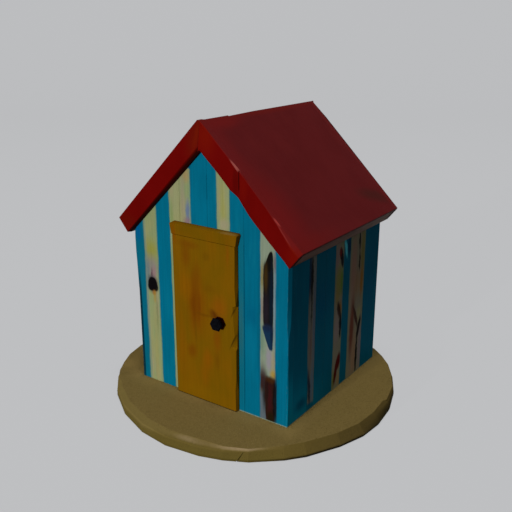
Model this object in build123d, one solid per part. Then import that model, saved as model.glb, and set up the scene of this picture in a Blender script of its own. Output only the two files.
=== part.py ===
"""A hand-painted wooden model of a beach hut on a round, sand-coated base.

The hut is a hollow box of thin matchboard panels: two gables, two side walls, a floor board and glue
battens in the corners. Two thick roof panels meet in a mitre at the ridge, sit over the gables in
shallow rebates, and carry a bargeboard on each end. The door is a thick board that lies over the
doorway and turns on two brass pins, one up into the door head and one down into the base.

Frame: millimetres, +Z up, the origin at the centre of the base's underside. The door faces -Y and
+X is to the right of someone who looks at the door.
"""

import os
from itertools import accumulate
from math import cos, radians, sin, tan

from build123d import *

# ---------------------------------------------------------------- base
BASE_RADIUS = 97.6
BASE_THICKNESS = 8.0
# The rim is cut by hand in short flats. For each corner, round from the back left: the degrees on to the
# next one, how far it strays out from the circle, how far its top leans in, and how worn its upper arris
# is, from 0 to 1.
RIM_CORNERS = (
    (13, 0.0, 0.2, 0.1), (10, 0.1, 0.3, 0.1), (14, 0.3, 0.3, 0.1), (11, 0.1, 0.3, 0.3), (14, -0.2, 0.3, 0.6),
    (15.5, -0.6, 0.2, 0.8), (13, -0.3, 0.2, 0.9), (14, 0.2, 0.6, 0.9), (9, 0.3, 0.8, 0.9), (9, 0.8, 0.8, 0.45),
    (12.5, 1.2, 2.2, 0.1), (8, 0.7, 4.1, 0.0), (14, 0.5, 4.4, 0.0), (11.5, 0.0, 4.2, 0.0), (10.5, 0.6, 4.5, 0.0),
    (11.5, 0.4, 4.0, 0.1), (12, 0.0, 2.0, 0.4), (10, -0.3, 0.5, 0.5), (13, -0.2, 0.4, 0.5), (12, 0.1, 0.3, 0.7),
    (11, -0.3, 0.4, 0.6), (13, 0.2, 0.3, 0.7), (10, 0.3, 0.6, 0.5), (14, -0.2, 1.2, 0.3), (12, 0.1, 0.9, 0.4),
    (13, -0.3, 0.4, 0.6), (13, 0.2, 0.2, 0.8), (11.5, 0.3, 0.3, 0.7), (12, -0.1, 0.6, 0.5), (13, 0.1, 0.5, 0.4),
)
RIM_SHOULDER = 5.8          # height of the worn arris' foot, where it is turned over
RIM_BROW = 6.5              # and of the edge over it, from which the wear slopes up to the top
RIM_BROW_EASE = 0.6         # how far a fully worn arris is cut in at the brow
RIM_TOP_EASE = 5.6          # and at the top
RIM_FOOT_RISE = 1.9         # height of the lower arris
RIM_UNDERCUT = 0.9          # how far it is cut in under a sharp corner
RIM_UNDERCUT_WORN = 0.4     # and under a fully worn one
RIM_CRACK_TURNS = (-62.0, -59.2)    # degrees round from +X of a crack up the rim, at its foot and its top
RIM_CRACK_WIDTH = 1.6
RIM_CRACK_DEPTH = 1.2

# ---------------------------------------------------------------- hut
HUT_WIDTH = 120.0
HUT_DEPTH = 118.5
HUT_SHIFT_X = -2.0          # the hut stands a little off the middle of the base
HUT_SHIFT_Y = 10.0
WALL_HEIGHT = 108.0         # base to the underside of the roof, at a side wall's outer face
WALL_THICKNESS = 6.0
FLOOR_THICKNESS = 3.0
GROOVE_WIDTH = 0.3          # V between two boards
GROOVE_DEPTH = 0.25
OPEN_GROOVE_WIDTH = 0.55    # where a joint has opened, and where the wood has checked
OPEN_GROOVE_DEPTH = 0.5
OPEN_JOINT_TOP = 112.0      # the joint beside the door's free edge is open up to here, above the base
CHECK_FOOT = 136.0          # the check over the door
CHECK_TOP = 151.0
CORNER_EASE = 0.5           # taken off the hut's upright corners

# Board widths across each panel, from left to right. They share out the panel's own width.
FRONT_LEFT_BOARDS = (7.1, 11.6, 11.5, 8.8)
FRONT_OVER_DOOR_BOARDS = (8.8, 13.1, 7.2, 9.9)
FRONT_RIGHT_BOARDS = (10.0, 11.4, 11.4, 9.2)
SIDE_BOARDS = (17.5, 7.5, 12.0, 12.5, 10.0, 10.0, 10.5, 11.0, 15.5)
BACK_BOARDS = (9.0, 11.0, 13.0, 11.0, 11.0, 11.0, 15.0, 8.5, 8.5, 12.0, 10.0)
# Where the right front corner was whittled: height above the base, and the cut across and along the hut.
CORNER_CUTS = (
    (118, 0.6, 3.2), (100, 0.8, 3.2), (84, 0.8, 3.2), (74, 1.1, 3.0), (66, 0.9, 2.4), (60, 0.4, 0.8),
    (50, 0.1, 0.2), (44, 0.5, 0.7), (38, 0.3, 0.5), (22, 0.6, 0.9), (10, 0.5, 0.6), (-1, 0.3, 0.4),
)

# ---------------------------------------------------------------- roof
ROOF_PITCH = 44.3           # degrees
ROOF_THICKNESS = 12.0
EAVES_OVERHANG = 2.6        # underside of the roof past the side wall
EAVES_REACH = 10.2          # and its upper edge, a little less than if the end were cut square to the slope
GABLE_HOUSING = 3.0         # how deep a gable stands in the roof panel's rebate
BARGEBOARD_THICKNESS = 4.5
BACK_BARGEBOARD_THICKNESS = 6.0
BARGEBOARD_EASE = 0.35      # taken off its upper arris
BOW_AT = 28.0               # the right front bargeboard is split and bowed, this far from the ridge
BOW_OUTER_RISE = 1.2
BOW_INNER_RISE = 2.2
SPLIT_WIDTH = 0.25
SPLIT_DEPTH = 0.5
SPLIT_HEIGHT = 11.0
# Wood lost from that board's upper arris: across from the ridge, and the cut back and down the face.
BOW_CUTS_ABOVE = ((-1, 0.35, 0.35), (20.5, 0.35, 0.35), (28.1, 1.3, 1.1))
BOW_CUTS_BELOW = (
    (28.2, 1.0, 0.3), (47, 0.4, 0.3), (52, 0.9, 0.8), (58, 1.2, 1.2), (64, 1.8, 2.0), (74, 2.3, 2.8),
)
# And from the back right board's.
WORN_CUTS = ((-1, 1.9, 2.6), (11, 0.4, 0.4), (30, 0.6, 0.8), (74, 1.6, 2.2))
CROWN_WIDTH = 1.9           # the left front bargeboard, steeper than the roof, is level on top over this width
MITRE_LEAN = 1.7            # the joint between the front boards leans over to the left by this much
# Its lower edge is planed up: across from the ridge, and the cut back and up the face.
UNDERSIDE_CUTS = ((-1, 4.0, 3.6), (74, 4.0, 0.4))
RIDGE_NICK = (23.0, 50.0)   # from the front wall: a cut across the ridge, sudden in front and fading behind
RIDGE_NICK_DEPTH = 0.6

# ---------------------------------------------------------------- doorway and door
DOORWAY_LEFT = -21.0        # from the middle of the front
DOORWAY_WIDTH = 39.0
DOORWAY_HEIGHT = 106.0
DOOR_LAP_LEFT = 5.1         # how far the door covers the wall beside the doorway
DOOR_LAP_RIGHT = 5.9
DOOR_LAP_TOP = 4.7
DOOR_THICKNESS = 2.8
DOOR_GAP = 0.3              # running gap behind the door
DOOR_FOOT_GAP = 0.5
DOOR_HEAD_GAP = 0.15
# Where the door's free edge is whittled and splintered: height above the base, and the cut in and back.
DOOR_CUTS = (
    (113, 0.6, 2.6), (100, 0.6, 2.6), (85, 0.9, 2.6), (79, 0.5, 1.8), (73, 0.1, 0.3), (71.9, 2.6, 2.5),
    (64, 2.1, 2.3), (57, 1.5, 2.0), (51.5, 1.0, 1.6), (45, 3.4, 1.5), (43.4, 0.3, 0.6), (36, 0.2, 0.4),
    (24, 0.1, 0.3), (15, 0.8, 2.2), (5, 0.6, 2.4), (-1, 0.5, 2.4),
)

HEAD_HEIGHT = 7.9           # moulded board over the door
HEAD_FLARE_LEFT = 0.5
HEAD_FLARE_RIGHT = 1.8
HEAD_PROUD = 1.0
HEAD_BEVEL = 0.9
HEAD_BEVEL_BACK = 3.0
HEAD_BEVEL_LEFT = 1.2       # its top is more worn at the left end
HEAD_BEVEL_RIGHT = 0.5

PIN_RADIUS = 0.55
PIN_IN_DOOR = 6.0
PIN_REACH = 3.5
PIN_CLEARANCE = 0.05
PIN_END_CLEARANCE = 0.5

KNOB_FROM_EDGE = 12.5       # from the door's free edge
KNOB_HEIGHT = 59.2          # above the base
KNOB_RADIUS = 4.7
KNOB_LENGTH = 3.3
KNOB_STEM_RADIUS = 2.0
KNOB_STEM_LENGTH = 0.8
KNOB_SIDES = 6
ROSE_RADIUS = 4.0
ROSE_THICKNESS = 0.7
# The knob's swell, from its stem out: the share of its length, and of its radius.
KNOB_SWELL = ((0.0, 0.6), (0.35, 0.88), (0.7, 1.0), (1.0, 0.86))

# ---------------------------------------------------------------- battens inside
BATTEN = 8.0
EAVES_BATTEN_EDGE = 6.0     # height of the eaves batten where it meets the wall
HEADER_DEPTH = 6.0
HEADER_HEIGHT = 8.0
HEADER_BEARING = 12.0       # how far the header laps each panel beside the doorway

CLEAR = 1.0                 # how far a cutting shape runs out past the wood

# ---------------------------------------------------------------- worked out
SLOPE = tan(radians(ROOF_PITCH))
SINE = sin(radians(ROOF_PITCH))
COSINE = cos(radians(ROOF_PITCH))

HALF_WIDTH = HUT_WIDTH / 2
FRONT = HUT_SHIFT_Y - HUT_DEPTH / 2     # outer face of the front wall
BACK = HUT_SHIFT_Y + HUT_DEPTH / 2
MIDDLE = HUT_SHIFT_X                    # the hut's own centre line
DECK = BASE_THICKNESS                   # top of the base
INNER_RIDGE = DECK + WALL_HEIGHT + HALF_WIDTH * SLOPE
OUTER_RIDGE = INNER_RIDGE + ROOF_THICKNESS / COSINE
EAVES_INNER_X = HALF_WIDTH + EAVES_OVERHANG
EAVES_OUTER_X = HALF_WIDTH + EAVES_REACH

DOORWAY_RIGHT = DOORWAY_LEFT + DOORWAY_WIDTH
DOOR_LEFT = DOORWAY_LEFT - DOOR_LAP_LEFT
DOOR_RIGHT = DOORWAY_RIGHT + DOOR_LAP_RIGHT
DOOR_FACE = FRONT - DOOR_GAP - DOOR_THICKNESS
DOOR_TOP = DECK + DOORWAY_HEIGHT + DOOR_LAP_TOP
DOOR_FOOT = DECK + DOOR_FOOT_GAP
HEAD_FOOT = DOOR_TOP + DOOR_HEAD_GAP
HINGE_X = MIDDLE + DOOR_LEFT + DOOR_THICKNESS / 2
HINGE_Y = FRONT - DOOR_GAP - DOOR_THICKNESS / 2


def block(x0, x1, y0, y1, z0, z1):
    """A plain squared piece between two corners."""
    return Pos((x0 + x1) / 2, (y0 + y1) / 2, (z0 + z1) / 2) * Box(x1 - x0, y1 - y0, z1 - z0)


def plate_xz(points, y0, y1):
    """An outline drawn on the front view, points as (x from the hut's middle, z), run from y0 to y1."""
    outline = Polyline(*[(MIDDLE + x, 0, z) for x, z in points], close=True)
    return extrude(Pos(0, y1, 0) * make_face(outline), amount=y1 - y0, dir=(0, -1, 0))


def roof_line(x, rise=0.0):
    """Height of the roof's underside at x from the middle, or of a line rise above it, square to it."""
    return INNER_RIDGE + rise / COSINE - abs(x) * SLOPE


def shares(widths, left, right):
    """Places of the joints between boards that share out the width from left to right."""
    scale = (right - left) / sum(widths)
    return [left + scale * w for w in list(accumulate(widths))[:-1]]


def groove(place, outward, z0, z1, width=GROOVE_WIDTH, depth=GROOVE_DEPTH):
    """A V groove up a wall's outer face, at place, cut along outward's opposite."""
    along = Vector(-outward[1], outward[0], 0) * (width / 2) * (1 + CLEAR / depth)
    out = Vector(*outward, 0)
    foot = Vector(*place, z0)
    outline = Polyline(foot + along + out * CLEAR, foot - out * depth, foot - along + out * CLEAR, close=True)
    return extrude(make_face(outline), amount=z1 - z0, dir=(0, 0, 1))


def whittled(stations):
    """The wood whittled off an arris. Each station is a point of the arris and the two vectors from it,
    along the two faces that meet there, to the edges of the cut. The triangles between them are joined in
    one long wedge."""
    def section(corner, first, second):
        at, first, second = Vector(*corner), Vector(*first), Vector(*second)
        over = (first - second).normalized() * CLEAR / 2
        outside = (first.normalized() + second.normalized()) * -CLEAR
        return make_face(Polyline(at + first + over, at + second - over, at + outside, close=True))

    return loft([section(*station) for station in stations], ruled=True)


# ---------------------------------------------------------------- base
def rim_level(z, eases):
    """The rim's outline at a height, drawn in at each corner by what eases(lean, wear) gives."""
    turns = [-180.0] + shares([width for width, *_ in RIM_CORNERS], -180, 180)
    corners = []
    for turn, (_, stray, lean, wear) in zip(turns, RIM_CORNERS):
        radius = BASE_RADIUS + stray - eases(lean, wear)
        corners.append((radius * cos(radians(turn)), radius * sin(radians(turn)), z))
    return make_face(Polyline(*corners, close=True))


def base_disc():
    """A round board, cut by hand in short flats, with worn arrises, a cracked rim and a bore for the pin."""
    def leaned(z):
        return (z - RIM_FOOT_RISE) / (BASE_THICKNESS - RIM_FOOT_RISE)

    disc = loft([
        rim_level(0, lambda lean, wear: RIM_UNDERCUT + (RIM_UNDERCUT_WORN - RIM_UNDERCUT) * wear),
        rim_level(RIM_FOOT_RISE, lambda lean, wear: 0),
        rim_level(RIM_SHOULDER, lambda lean, wear: lean * leaned(RIM_SHOULDER)),
        rim_level(RIM_BROW, lambda lean, wear: lean * leaned(RIM_BROW) + RIM_BROW_EASE * wear),
        rim_level(BASE_THICKNESS, lambda lean, wear: lean + RIM_TOP_EASE * wear),
    ], ruled=True)
    return disc - rim_crack() - pin_bore(DECK - PIN_REACH + DOOR_FOOT_GAP - PIN_END_CLEARANCE, DECK)


def rim_crack():
    """A narrow wedge that leans over to one side, from the underside up to the brow of the rim."""
    outside = BASE_RADIUS + 2 * CLEAR

    def notch(turn, z):
        tip, mouth = BASE_RADIUS - RIM_CRACK_DEPTH, RIM_CRACK_WIDTH / 2
        outline = Polyline((tip, 0), (outside, mouth), (outside, -mouth), close=True)
        return Pos(0, 0, z) * Rot(0, 0, turn) * make_face(outline)

    foot_turn, top_turn = RIM_CRACK_TURNS
    return loft([notch(foot_turn, -CLEAR), notch(top_turn, RIM_BROW)], ruled=True)


# ---------------------------------------------------------------- walls
def gable_outline(left, right, foot):
    """Outline of the part of a gable between left and right, up into the roof panels' rebates."""
    points = [(left, foot), (right, foot), (right, roof_line(right, GABLE_HOUSING))]
    if left < 0 < right:
        points.append((0, roof_line(0, GABLE_HOUSING)))
    points.append((left, roof_line(left, GABLE_HOUSING)))
    return points


def gable_panel(left, right, foot, widths, y_outer, outward):
    """One matchboard panel of a gable. A half groove runs down each edge that meets another panel."""
    y_inner = y_outer - outward * WALL_THICKNESS
    panel = plate_xz(gable_outline(left, right, foot), min(y_outer, y_inner), max(y_outer, y_inner))
    joints = shares(widths, left, right)
    for x in joints + [x for x in (left, right) if abs(x) < HALF_WIDTH]:
        panel -= groove((MIDDLE + x, y_outer), (0, outward), DECK - CLEAR, OUTER_RIDGE)
    return panel


def opening(x, foot, top):
    """An open joint or check in the front, x from the middle, between two heights above the base."""
    return groove((MIDDLE + x, FRONT), (0, -1), DECK + foot, DECK + top, OPEN_GROOVE_WIDTH, OPEN_GROOVE_DEPTH)


def eased_corner(panel, side, y_outer):
    """A gable panel with its outer upright corner taken off."""
    corners = panel.edges().filter_by(Axis.Z).filter_by(
        lambda e: abs(e.center().X - MIDDLE - side * HALF_WIDTH) < 0.01 and abs(e.center().Y - y_outer) < 0.01
    )
    return chamfer(corners, CORNER_EASE)


def whittled_corner():
    """The wood off the right front corner of the hut."""
    return whittled([
        ((MIDDLE + HALF_WIDTH, FRONT, DECK + height), (-across, 0, 0), (0, along, 0))
        for height, across, along in CORNER_CUTS
    ])


def front_walls():
    """The front gable in three panels: one each side of the doorway and one over it."""
    left = gable_panel(-HALF_WIDTH, DOORWAY_LEFT, DECK, FRONT_LEFT_BOARDS, FRONT, -1)
    right = gable_panel(DOORWAY_RIGHT, HALF_WIDTH, DECK, FRONT_RIGHT_BOARDS, FRONT, -1)
    over_door = gable_panel(
        DOORWAY_LEFT, DOORWAY_RIGHT, DECK + DOORWAY_HEIGHT, FRONT_OVER_DOOR_BOARDS, FRONT, -1
    )
    open_joint = shares(FRONT_RIGHT_BOARDS, DOORWAY_RIGHT, HALF_WIDTH)[0]
    check = shares(FRONT_OVER_DOOR_BOARDS, DOORWAY_LEFT, DOORWAY_RIGHT)[1]
    return {
        "front_wall_left": eased_corner(left, -1, FRONT),
        "front_wall_right": right - whittled_corner() - opening(open_joint, -CLEAR, OPEN_JOINT_TOP),
        "front_wall_over_door": over_door - opening(check, CHECK_FOOT, CHECK_TOP),
    }


def back_wall():
    wall = gable_panel(-HALF_WIDTH, HALF_WIDTH, DECK, BACK_BOARDS, BACK, 1)
    return eased_corner(eased_corner(wall, -1, BACK), 1, BACK)


def side_wall(side):
    """A side wall between the gables, its top bevelled to the roof."""
    inner = HALF_WIDTH - WALL_THICKNESS
    outline = [
        (side * inner, DECK),
        (side * HALF_WIDTH, DECK),
        (side * HALF_WIDTH, roof_line(HALF_WIDTH)),
        (side * inner, roof_line(inner)),
    ]
    front, back = FRONT + WALL_THICKNESS, BACK - WALL_THICKNESS
    wall = plate_xz(outline, front, back)
    for y in shares(SIDE_BOARDS, front, back):
        wall -= groove((MIDDLE + side * HALF_WIDTH, y), (side, 0), DECK - CLEAR, OUTER_RIDGE)
    return wall


def floor_board():
    inner = HALF_WIDTH - WALL_THICKNESS
    return block(
        MIDDLE - inner, MIDDLE + inner, FRONT + WALL_THICKNESS, BACK - WALL_THICKNESS,
        DECK, DECK + FLOOR_THICKNESS,
    )


def threshold():
    """The strip that closes the foot of the doorway, flush with the wall."""
    return block(
        MIDDLE + DOORWAY_LEFT, MIDDLE + DOORWAY_RIGHT, FRONT, FRONT + WALL_THICKNESS,
        DECK, DECK + FLOOR_THICKNESS,
    )


# ---------------------------------------------------------------- battens inside
def corner_batten(side, end):
    """A square batten in a corner of the room, from the floor to the eaves batten."""
    x_wall = MIDDLE + side * (HALF_WIDTH - WALL_THICKNESS)
    y_wall = FRONT + WALL_THICKNESS if end < 0 else BACK - WALL_THICKNESS
    x0, x1 = sorted((x_wall, x_wall - side * BATTEN))
    y0, y1 = sorted((y_wall, y_wall - end * BATTEN))
    return block(x0, x1, y0, y1, DECK + FLOOR_THICKNESS, eaves_batten_foot())


def eaves_batten_foot():
    return roof_line(HALF_WIDTH - WALL_THICKNESS) - EAVES_BATTEN_EDGE


def eaves_batten(side):
    """A batten along the top of a side wall, its top bevelled to carry the roof panel."""
    wall = HALF_WIDTH - WALL_THICKNESS
    outline = [
        (side * wall, eaves_batten_foot()),
        (side * wall, roof_line(wall)),
        (side * (wall - BATTEN), roof_line(wall - BATTEN)),
        (side * (wall - BATTEN), eaves_batten_foot()),
    ]
    return plate_xz(outline, FRONT + WALL_THICKNESS, BACK - WALL_THICKNESS)


def ridge_batten():
    """A triangular fillet in the angle under the ridge."""
    outline = [(-BATTEN, roof_line(BATTEN)), (BATTEN, roof_line(BATTEN)), (0, roof_line(0))]
    return plate_xz(outline, FRONT + WALL_THICKNESS, BACK - WALL_THICKNESS)


def doorway_header():
    """A batten across the head of the doorway, which ties the three front panels together."""
    foot = DECK + DOORWAY_HEIGHT
    return block(
        MIDDLE + DOORWAY_LEFT - HEADER_BEARING, MIDDLE + DOORWAY_RIGHT + HEADER_BEARING,
        FRONT + WALL_THICKNESS, FRONT + WALL_THICKNESS + HEADER_DEPTH,
        foot, foot + HEADER_HEIGHT,
    )


# ---------------------------------------------------------------- roof
def slope_outline(side):
    """Section of one slope of the roof: mitred at the ridge, cut nearly square to the slope at the eaves."""
    return [
        (0, INNER_RIDGE),
        (side * EAVES_INNER_X, roof_line(EAVES_INNER_X)),
        (side * EAVES_OUTER_X, roof_line(EAVES_OUTER_X, ROOF_THICKNESS)),
        (0, OUTER_RIDGE),
    ]


def ridge_nick():
    """The wood cut out of the ridge: full depth at the front of the nick, and none at its back."""
    sudden, faded = (FRONT + y for y in RIDGE_NICK)
    outline = Polyline(
        (MIDDLE, sudden, OUTER_RIDGE - RIDGE_NICK_DEPTH), (MIDDLE, faded, OUTER_RIDGE),
        (MIDDLE, faded, OUTER_RIDGE + CLEAR), (MIDDLE, sudden, OUTER_RIDGE + CLEAR), close=True,
    )
    return extrude(make_face(outline), amount=ROOF_THICKNESS, both=True)


def roof_panel(side):
    """A thick board over one slope, with a rebate at each end in which the gable stands."""
    panel = plate_xz(slope_outline(side), FRONT, BACK)
    gable = gable_outline(-HALF_WIDTH, HALF_WIDTH, DECK)
    panel -= plate_xz(gable, FRONT, FRONT + WALL_THICKNESS)
    panel -= plate_xz(gable, BACK - WALL_THICKNESS, BACK)
    return panel - ridge_nick()


def face_of_boards(end):
    """Where the outer faces of the front or back bargeboards stand."""
    return FRONT - BARGEBOARD_THICKNESS if end < 0 else BACK + BACK_BARGEBOARD_THICKNESS


def arris_cuts(side, end, cuts, rise=lambda x: 0.0):
    """The wood off a bargeboard's upper arris, which stands rise(x) above the roof's own line."""
    return whittled([
        (
            (MIDDLE + side * x, face_of_boards(end), OUTER_RIDGE - x * SLOPE + rise(x)),
            (0, -end * back, 0),
            (-side * SINE * down, 0, -COSINE * down),
        )
        for x, back, down in cuts
    ])


def eased(board, side, end, start=-CLEAR, rise=lambda x: 0.0):
    """The board with its upper arris just taken off, from start at the ridge down to the eaves."""
    ends = (start, EAVES_OUTER_X + CLEAR)
    return board - arris_cuts(side, end, [(x, BARGEBOARD_EASE, BARGEBOARD_EASE) for x in ends], rise)


def back_bargeboard(side):
    """A plain bargeboard over the end of a roof panel and the top of the back gable."""
    return plate_xz(slope_outline(side), BACK, face_of_boards(1))


def mitre_foot():
    """The lower end of the leaning joint between the front bargeboards."""
    return -MITRE_LEAN, roof_line(MITRE_LEAN)


def crown_rise(x):
    """How far the steeper bargeboard's upper edge stands above the roof's line, x from the ridge."""
    return CROWN_WIDTH * SLOPE * (EAVES_OUTER_X - x) / (EAVES_OUTER_X - CROWN_WIDTH)


def steep_bargeboard():
    """The left front bargeboard: a little steeper than the roof, level on top, and planed up underneath."""
    _, inner_foot, outer_foot, outer_ridge = slope_outline(-1)
    outline = [mitre_foot(), inner_foot, outer_foot, (-CROWN_WIDTH, OUTER_RIDGE), outer_ridge]
    board = plate_xz(outline, face_of_boards(-1), FRONT)
    underside = whittled([
        (
            (MIDDLE - x, face_of_boards(-1), roof_line(x)),
            (0, back, 0),
            (-SINE * up, 0, COSINE * up),
        )
        for x, back, up in UNDERSIDE_CUTS
    ])
    return eased(board, -1, -1, CROWN_WIDTH, crown_rise) - underside


def bow_rise(x):
    """How far the bowed bargeboard's upper edge stands above the roof's line, x from the ridge."""
    return BOW_OUTER_RISE * (x / BOW_AT if x < BOW_AT else (EAVES_OUTER_X - x) / (EAVES_OUTER_X - BOW_AT))


def bowed_bargeboard():
    """The right front bargeboard: split at BOW_AT, bowed upwards there, and splintered along its arris."""
    inner_ridge, inner_foot, outer_foot, outer_ridge = slope_outline(1)
    split_top = OUTER_RIDGE - BOW_AT * SLOPE + BOW_OUTER_RISE
    outline = [
        mitre_foot(),
        inner_ridge,
        (BOW_AT, roof_line(BOW_AT) + BOW_INNER_RISE),
        inner_foot,
        outer_foot,
        (BOW_AT, split_top),
        outer_ridge,
    ]
    y_face = face_of_boards(-1)
    split = block(
        MIDDLE + BOW_AT, MIDDLE + BOW_AT + SPLIT_WIDTH, y_face - CLEAR, y_face + SPLIT_DEPTH,
        split_top - SPLIT_HEIGHT, split_top + CLEAR,
    )
    board = plate_xz(outline, y_face, FRONT) - split
    return board - arris_cuts(1, -1, BOW_CUTS_ABOVE, bow_rise) - arris_cuts(1, -1, BOW_CUTS_BELOW, bow_rise)


# ---------------------------------------------------------------- door
def pin_bore(z0, z1):
    """The hole that a hinge pin turns in."""
    radius = PIN_RADIUS + PIN_CLEARANCE
    return Pos(HINGE_X, HINGE_Y, (z0 + z1) / 2) * Cylinder(radius, z1 - z0)


def hinge_pin(z0, z1):
    return Pos(HINGE_X, HINGE_Y, (z0 + z1) / 2) * Cylinder(PIN_RADIUS, z1 - z0)


def hinge_pins():
    """Two brass pins, driven into the door's top and foot at its rounded edge."""
    return {
        "hinge_pin_top": hinge_pin(DOOR_TOP - PIN_IN_DOOR, DOOR_TOP + PIN_REACH),
        "hinge_pin_foot": hinge_pin(DOOR_FOOT - PIN_REACH, DOOR_FOOT + PIN_IN_DOOR),
    }


def door_leaf():
    """A thick board, its hinge edge rounded about the pins and its free edge whittled and splintered."""
    right = MIDDLE + DOOR_RIGHT
    height = DOOR_TOP - DOOR_FOOT
    leaf = block(HINGE_X, right, DOOR_FACE, DOOR_FACE + DOOR_THICKNESS, DOOR_FOOT, DOOR_TOP)
    leaf += Pos(HINGE_X, HINGE_Y, DOOR_FOOT + height / 2) * Cylinder(DOOR_THICKNESS / 2, height)
    for pin in hinge_pins().values():
        leaf -= pin
    return leaf - whittled([
        ((right, DOOR_FACE, DECK + at), (-inward, 0, 0), (0, back, 0)) for at, inward, back in DOOR_CUTS
    ])


def door_head():
    """The moulded board over the door: it flares from the door's own width and has a bevelled top."""
    def level(z, grow_left, grow_right, proud):
        left, right = MIDDLE + DOOR_LEFT - grow_left, MIDDLE + DOOR_RIGHT + grow_right
        front = DOOR_FACE - proud
        corners = (left, FRONT, z), (right, FRONT, z), (right, front, z), (left, front, z)
        return make_face(Polyline(*corners, close=True))

    top = HEAD_FOOT + HEAD_HEIGHT
    board = loft([
        level(HEAD_FOOT, 0, 0, 0),
        level(top - HEAD_BEVEL, HEAD_FLARE_LEFT, HEAD_FLARE_RIGHT, HEAD_PROUD),
        level(
            top, HEAD_FLARE_LEFT - HEAD_BEVEL_LEFT, HEAD_FLARE_RIGHT - HEAD_BEVEL_RIGHT,
            HEAD_PROUD - HEAD_BEVEL_BACK,
        ),
    ], ruled=True)
    reach = PIN_REACH - DOOR_HEAD_GAP + PIN_END_CLEARANCE
    return board - pin_bore(HEAD_FOOT, HEAD_FOOT + reach)


def knob_place(out):
    """A plane square to the door at the knob, its Z pointing out, a distance out from the door's face."""
    x = MIDDLE + DOOR_RIGHT - KNOB_FROM_EDGE
    return Plane(origin=(x, DOOR_FACE - out, DECK + KNOB_HEIGHT), x_dir=(1, 0, 0), z_dir=(0, -1, 0))


def knob_rose():
    return knob_place(0) * Pos(0, 0, ROSE_THICKNESS / 2) * Cylinder(ROSE_RADIUS, ROSE_THICKNESS)


def door_knob():
    """A whittled knob: six flats, widest near its end, on a short stem."""
    start = ROSE_THICKNESS + KNOB_STEM_LENGTH
    stem = knob_place(ROSE_THICKNESS) * Pos(0, 0, KNOB_STEM_LENGTH / 2) * Cylinder(
        KNOB_STEM_RADIUS, KNOB_STEM_LENGTH
    )
    rings = [
        knob_place(start + share * KNOB_LENGTH) * RegularPolygon(KNOB_RADIUS * width, KNOB_SIDES)
        for share, width in KNOB_SWELL
    ]
    return stem + loft(rings, ruled=True)


# ---------------------------------------------------------------- all the pieces
def pieces():
    made = {
        "base_disc": base_disc(),
        "floor_board": floor_board(),
        "door_threshold": threshold(),
        **front_walls(),
        "back_wall": back_wall(),
        "left_wall": side_wall(-1),
        "right_wall": side_wall(1),
        "corner_batten_front_left": corner_batten(-1, -1),
        "corner_batten_front_right": corner_batten(1, -1),
        "corner_batten_back_left": corner_batten(-1, 1),
        "corner_batten_back_right": corner_batten(1, 1),
        "eaves_batten_left": eaves_batten(-1),
        "eaves_batten_right": eaves_batten(1),
        "ridge_batten": ridge_batten(),
        "doorway_header": doorway_header(),
        "roof_panel_left": roof_panel(-1),
        "roof_panel_right": roof_panel(1),
        "bargeboard_front_left": steep_bargeboard(),
        "bargeboard_front_right": bowed_bargeboard(),
        "bargeboard_back_left": eased(back_bargeboard(-1), -1, 1),
        "bargeboard_back_right": back_bargeboard(1) - arris_cuts(1, 1, WORN_CUTS),
        "door_head": door_head(),
        "door_leaf": door_leaf(),
        "knob_rose": knob_rose(),
        "door_knob": door_knob(),
        **hinge_pins(),
    }
    return made


os.makedirs("parts", exist_ok=True)
for name, piece in pieces().items():
    export_step(piece, f"parts/{name}.step")
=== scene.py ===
import bpy
import itertools
import math
import numpy as np
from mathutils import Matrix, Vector


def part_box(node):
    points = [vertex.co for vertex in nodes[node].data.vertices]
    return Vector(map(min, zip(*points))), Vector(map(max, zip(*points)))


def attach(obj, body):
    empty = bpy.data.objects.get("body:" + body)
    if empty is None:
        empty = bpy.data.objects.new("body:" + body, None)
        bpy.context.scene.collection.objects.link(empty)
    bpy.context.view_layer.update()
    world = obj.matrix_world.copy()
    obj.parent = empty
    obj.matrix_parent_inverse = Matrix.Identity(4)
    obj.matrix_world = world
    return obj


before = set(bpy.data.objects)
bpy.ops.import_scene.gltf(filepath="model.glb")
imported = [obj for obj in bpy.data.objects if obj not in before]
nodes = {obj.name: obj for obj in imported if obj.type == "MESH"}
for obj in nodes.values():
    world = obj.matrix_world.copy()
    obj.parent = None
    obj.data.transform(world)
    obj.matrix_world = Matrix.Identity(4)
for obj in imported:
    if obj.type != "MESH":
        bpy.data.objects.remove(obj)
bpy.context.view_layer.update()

# The hut's own corner of the frame, in metres: its middle, its front face and the top of its base.
hutLow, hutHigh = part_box("back_wall")
hutMiddle = (hutLow.x + hutHigh.x) / 2
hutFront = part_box("front_wall_left")[0].y
hutBack = hutHigh.y
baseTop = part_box("base_disc")[1].z
hutOrigin = (hutMiddle, hutFront, baseTop)
mm = 0.001

# sizes that the finishes need, in mm
hutSize = {
    "halfWidth": (hutHigh.x - hutLow.x) / 2 / mm,
    "depth": (hutBack - hutFront) / mm,
    "wallHeight": 108.0,
    "slope": math.tan(math.radians(44.3)),
}
slopeLength = math.hypot(1, hutSize["slope"])       # mm down the roof for each mm out
noiseRange = (0.2, 0.8)     # nearly all of a noise's values lie between these
streakRange = (0.25, 0.75)
paintGloss = 0.012


def paint(red, green, blue):
    # a colour as a painter's chart gives it, 0 to 255, turned into the linear light that shaders work in
    share = np.array([red, green, blue]) / 255
    linear = np.where(share <= 0.04045, share / 12.92, ((share + 0.055) / 1.055) ** 2.4)
    return (*(float(c) for c in linear), 1.0)


def fill(node, values):
    # sets or links a node's inputs, by name or number; a chart's three numbers become a shader's colour
    for key, value in values.items():
        socket = node.inputs[key]
        if isinstance(value, bpy.types.NodeSocket):
            node.id_data.links.new(value, socket)
        elif socket.type == "RGBA" and len(value) == 3:
            socket.default_value = paint(*value)
        else:
            socket.default_value = value
    return node


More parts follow.
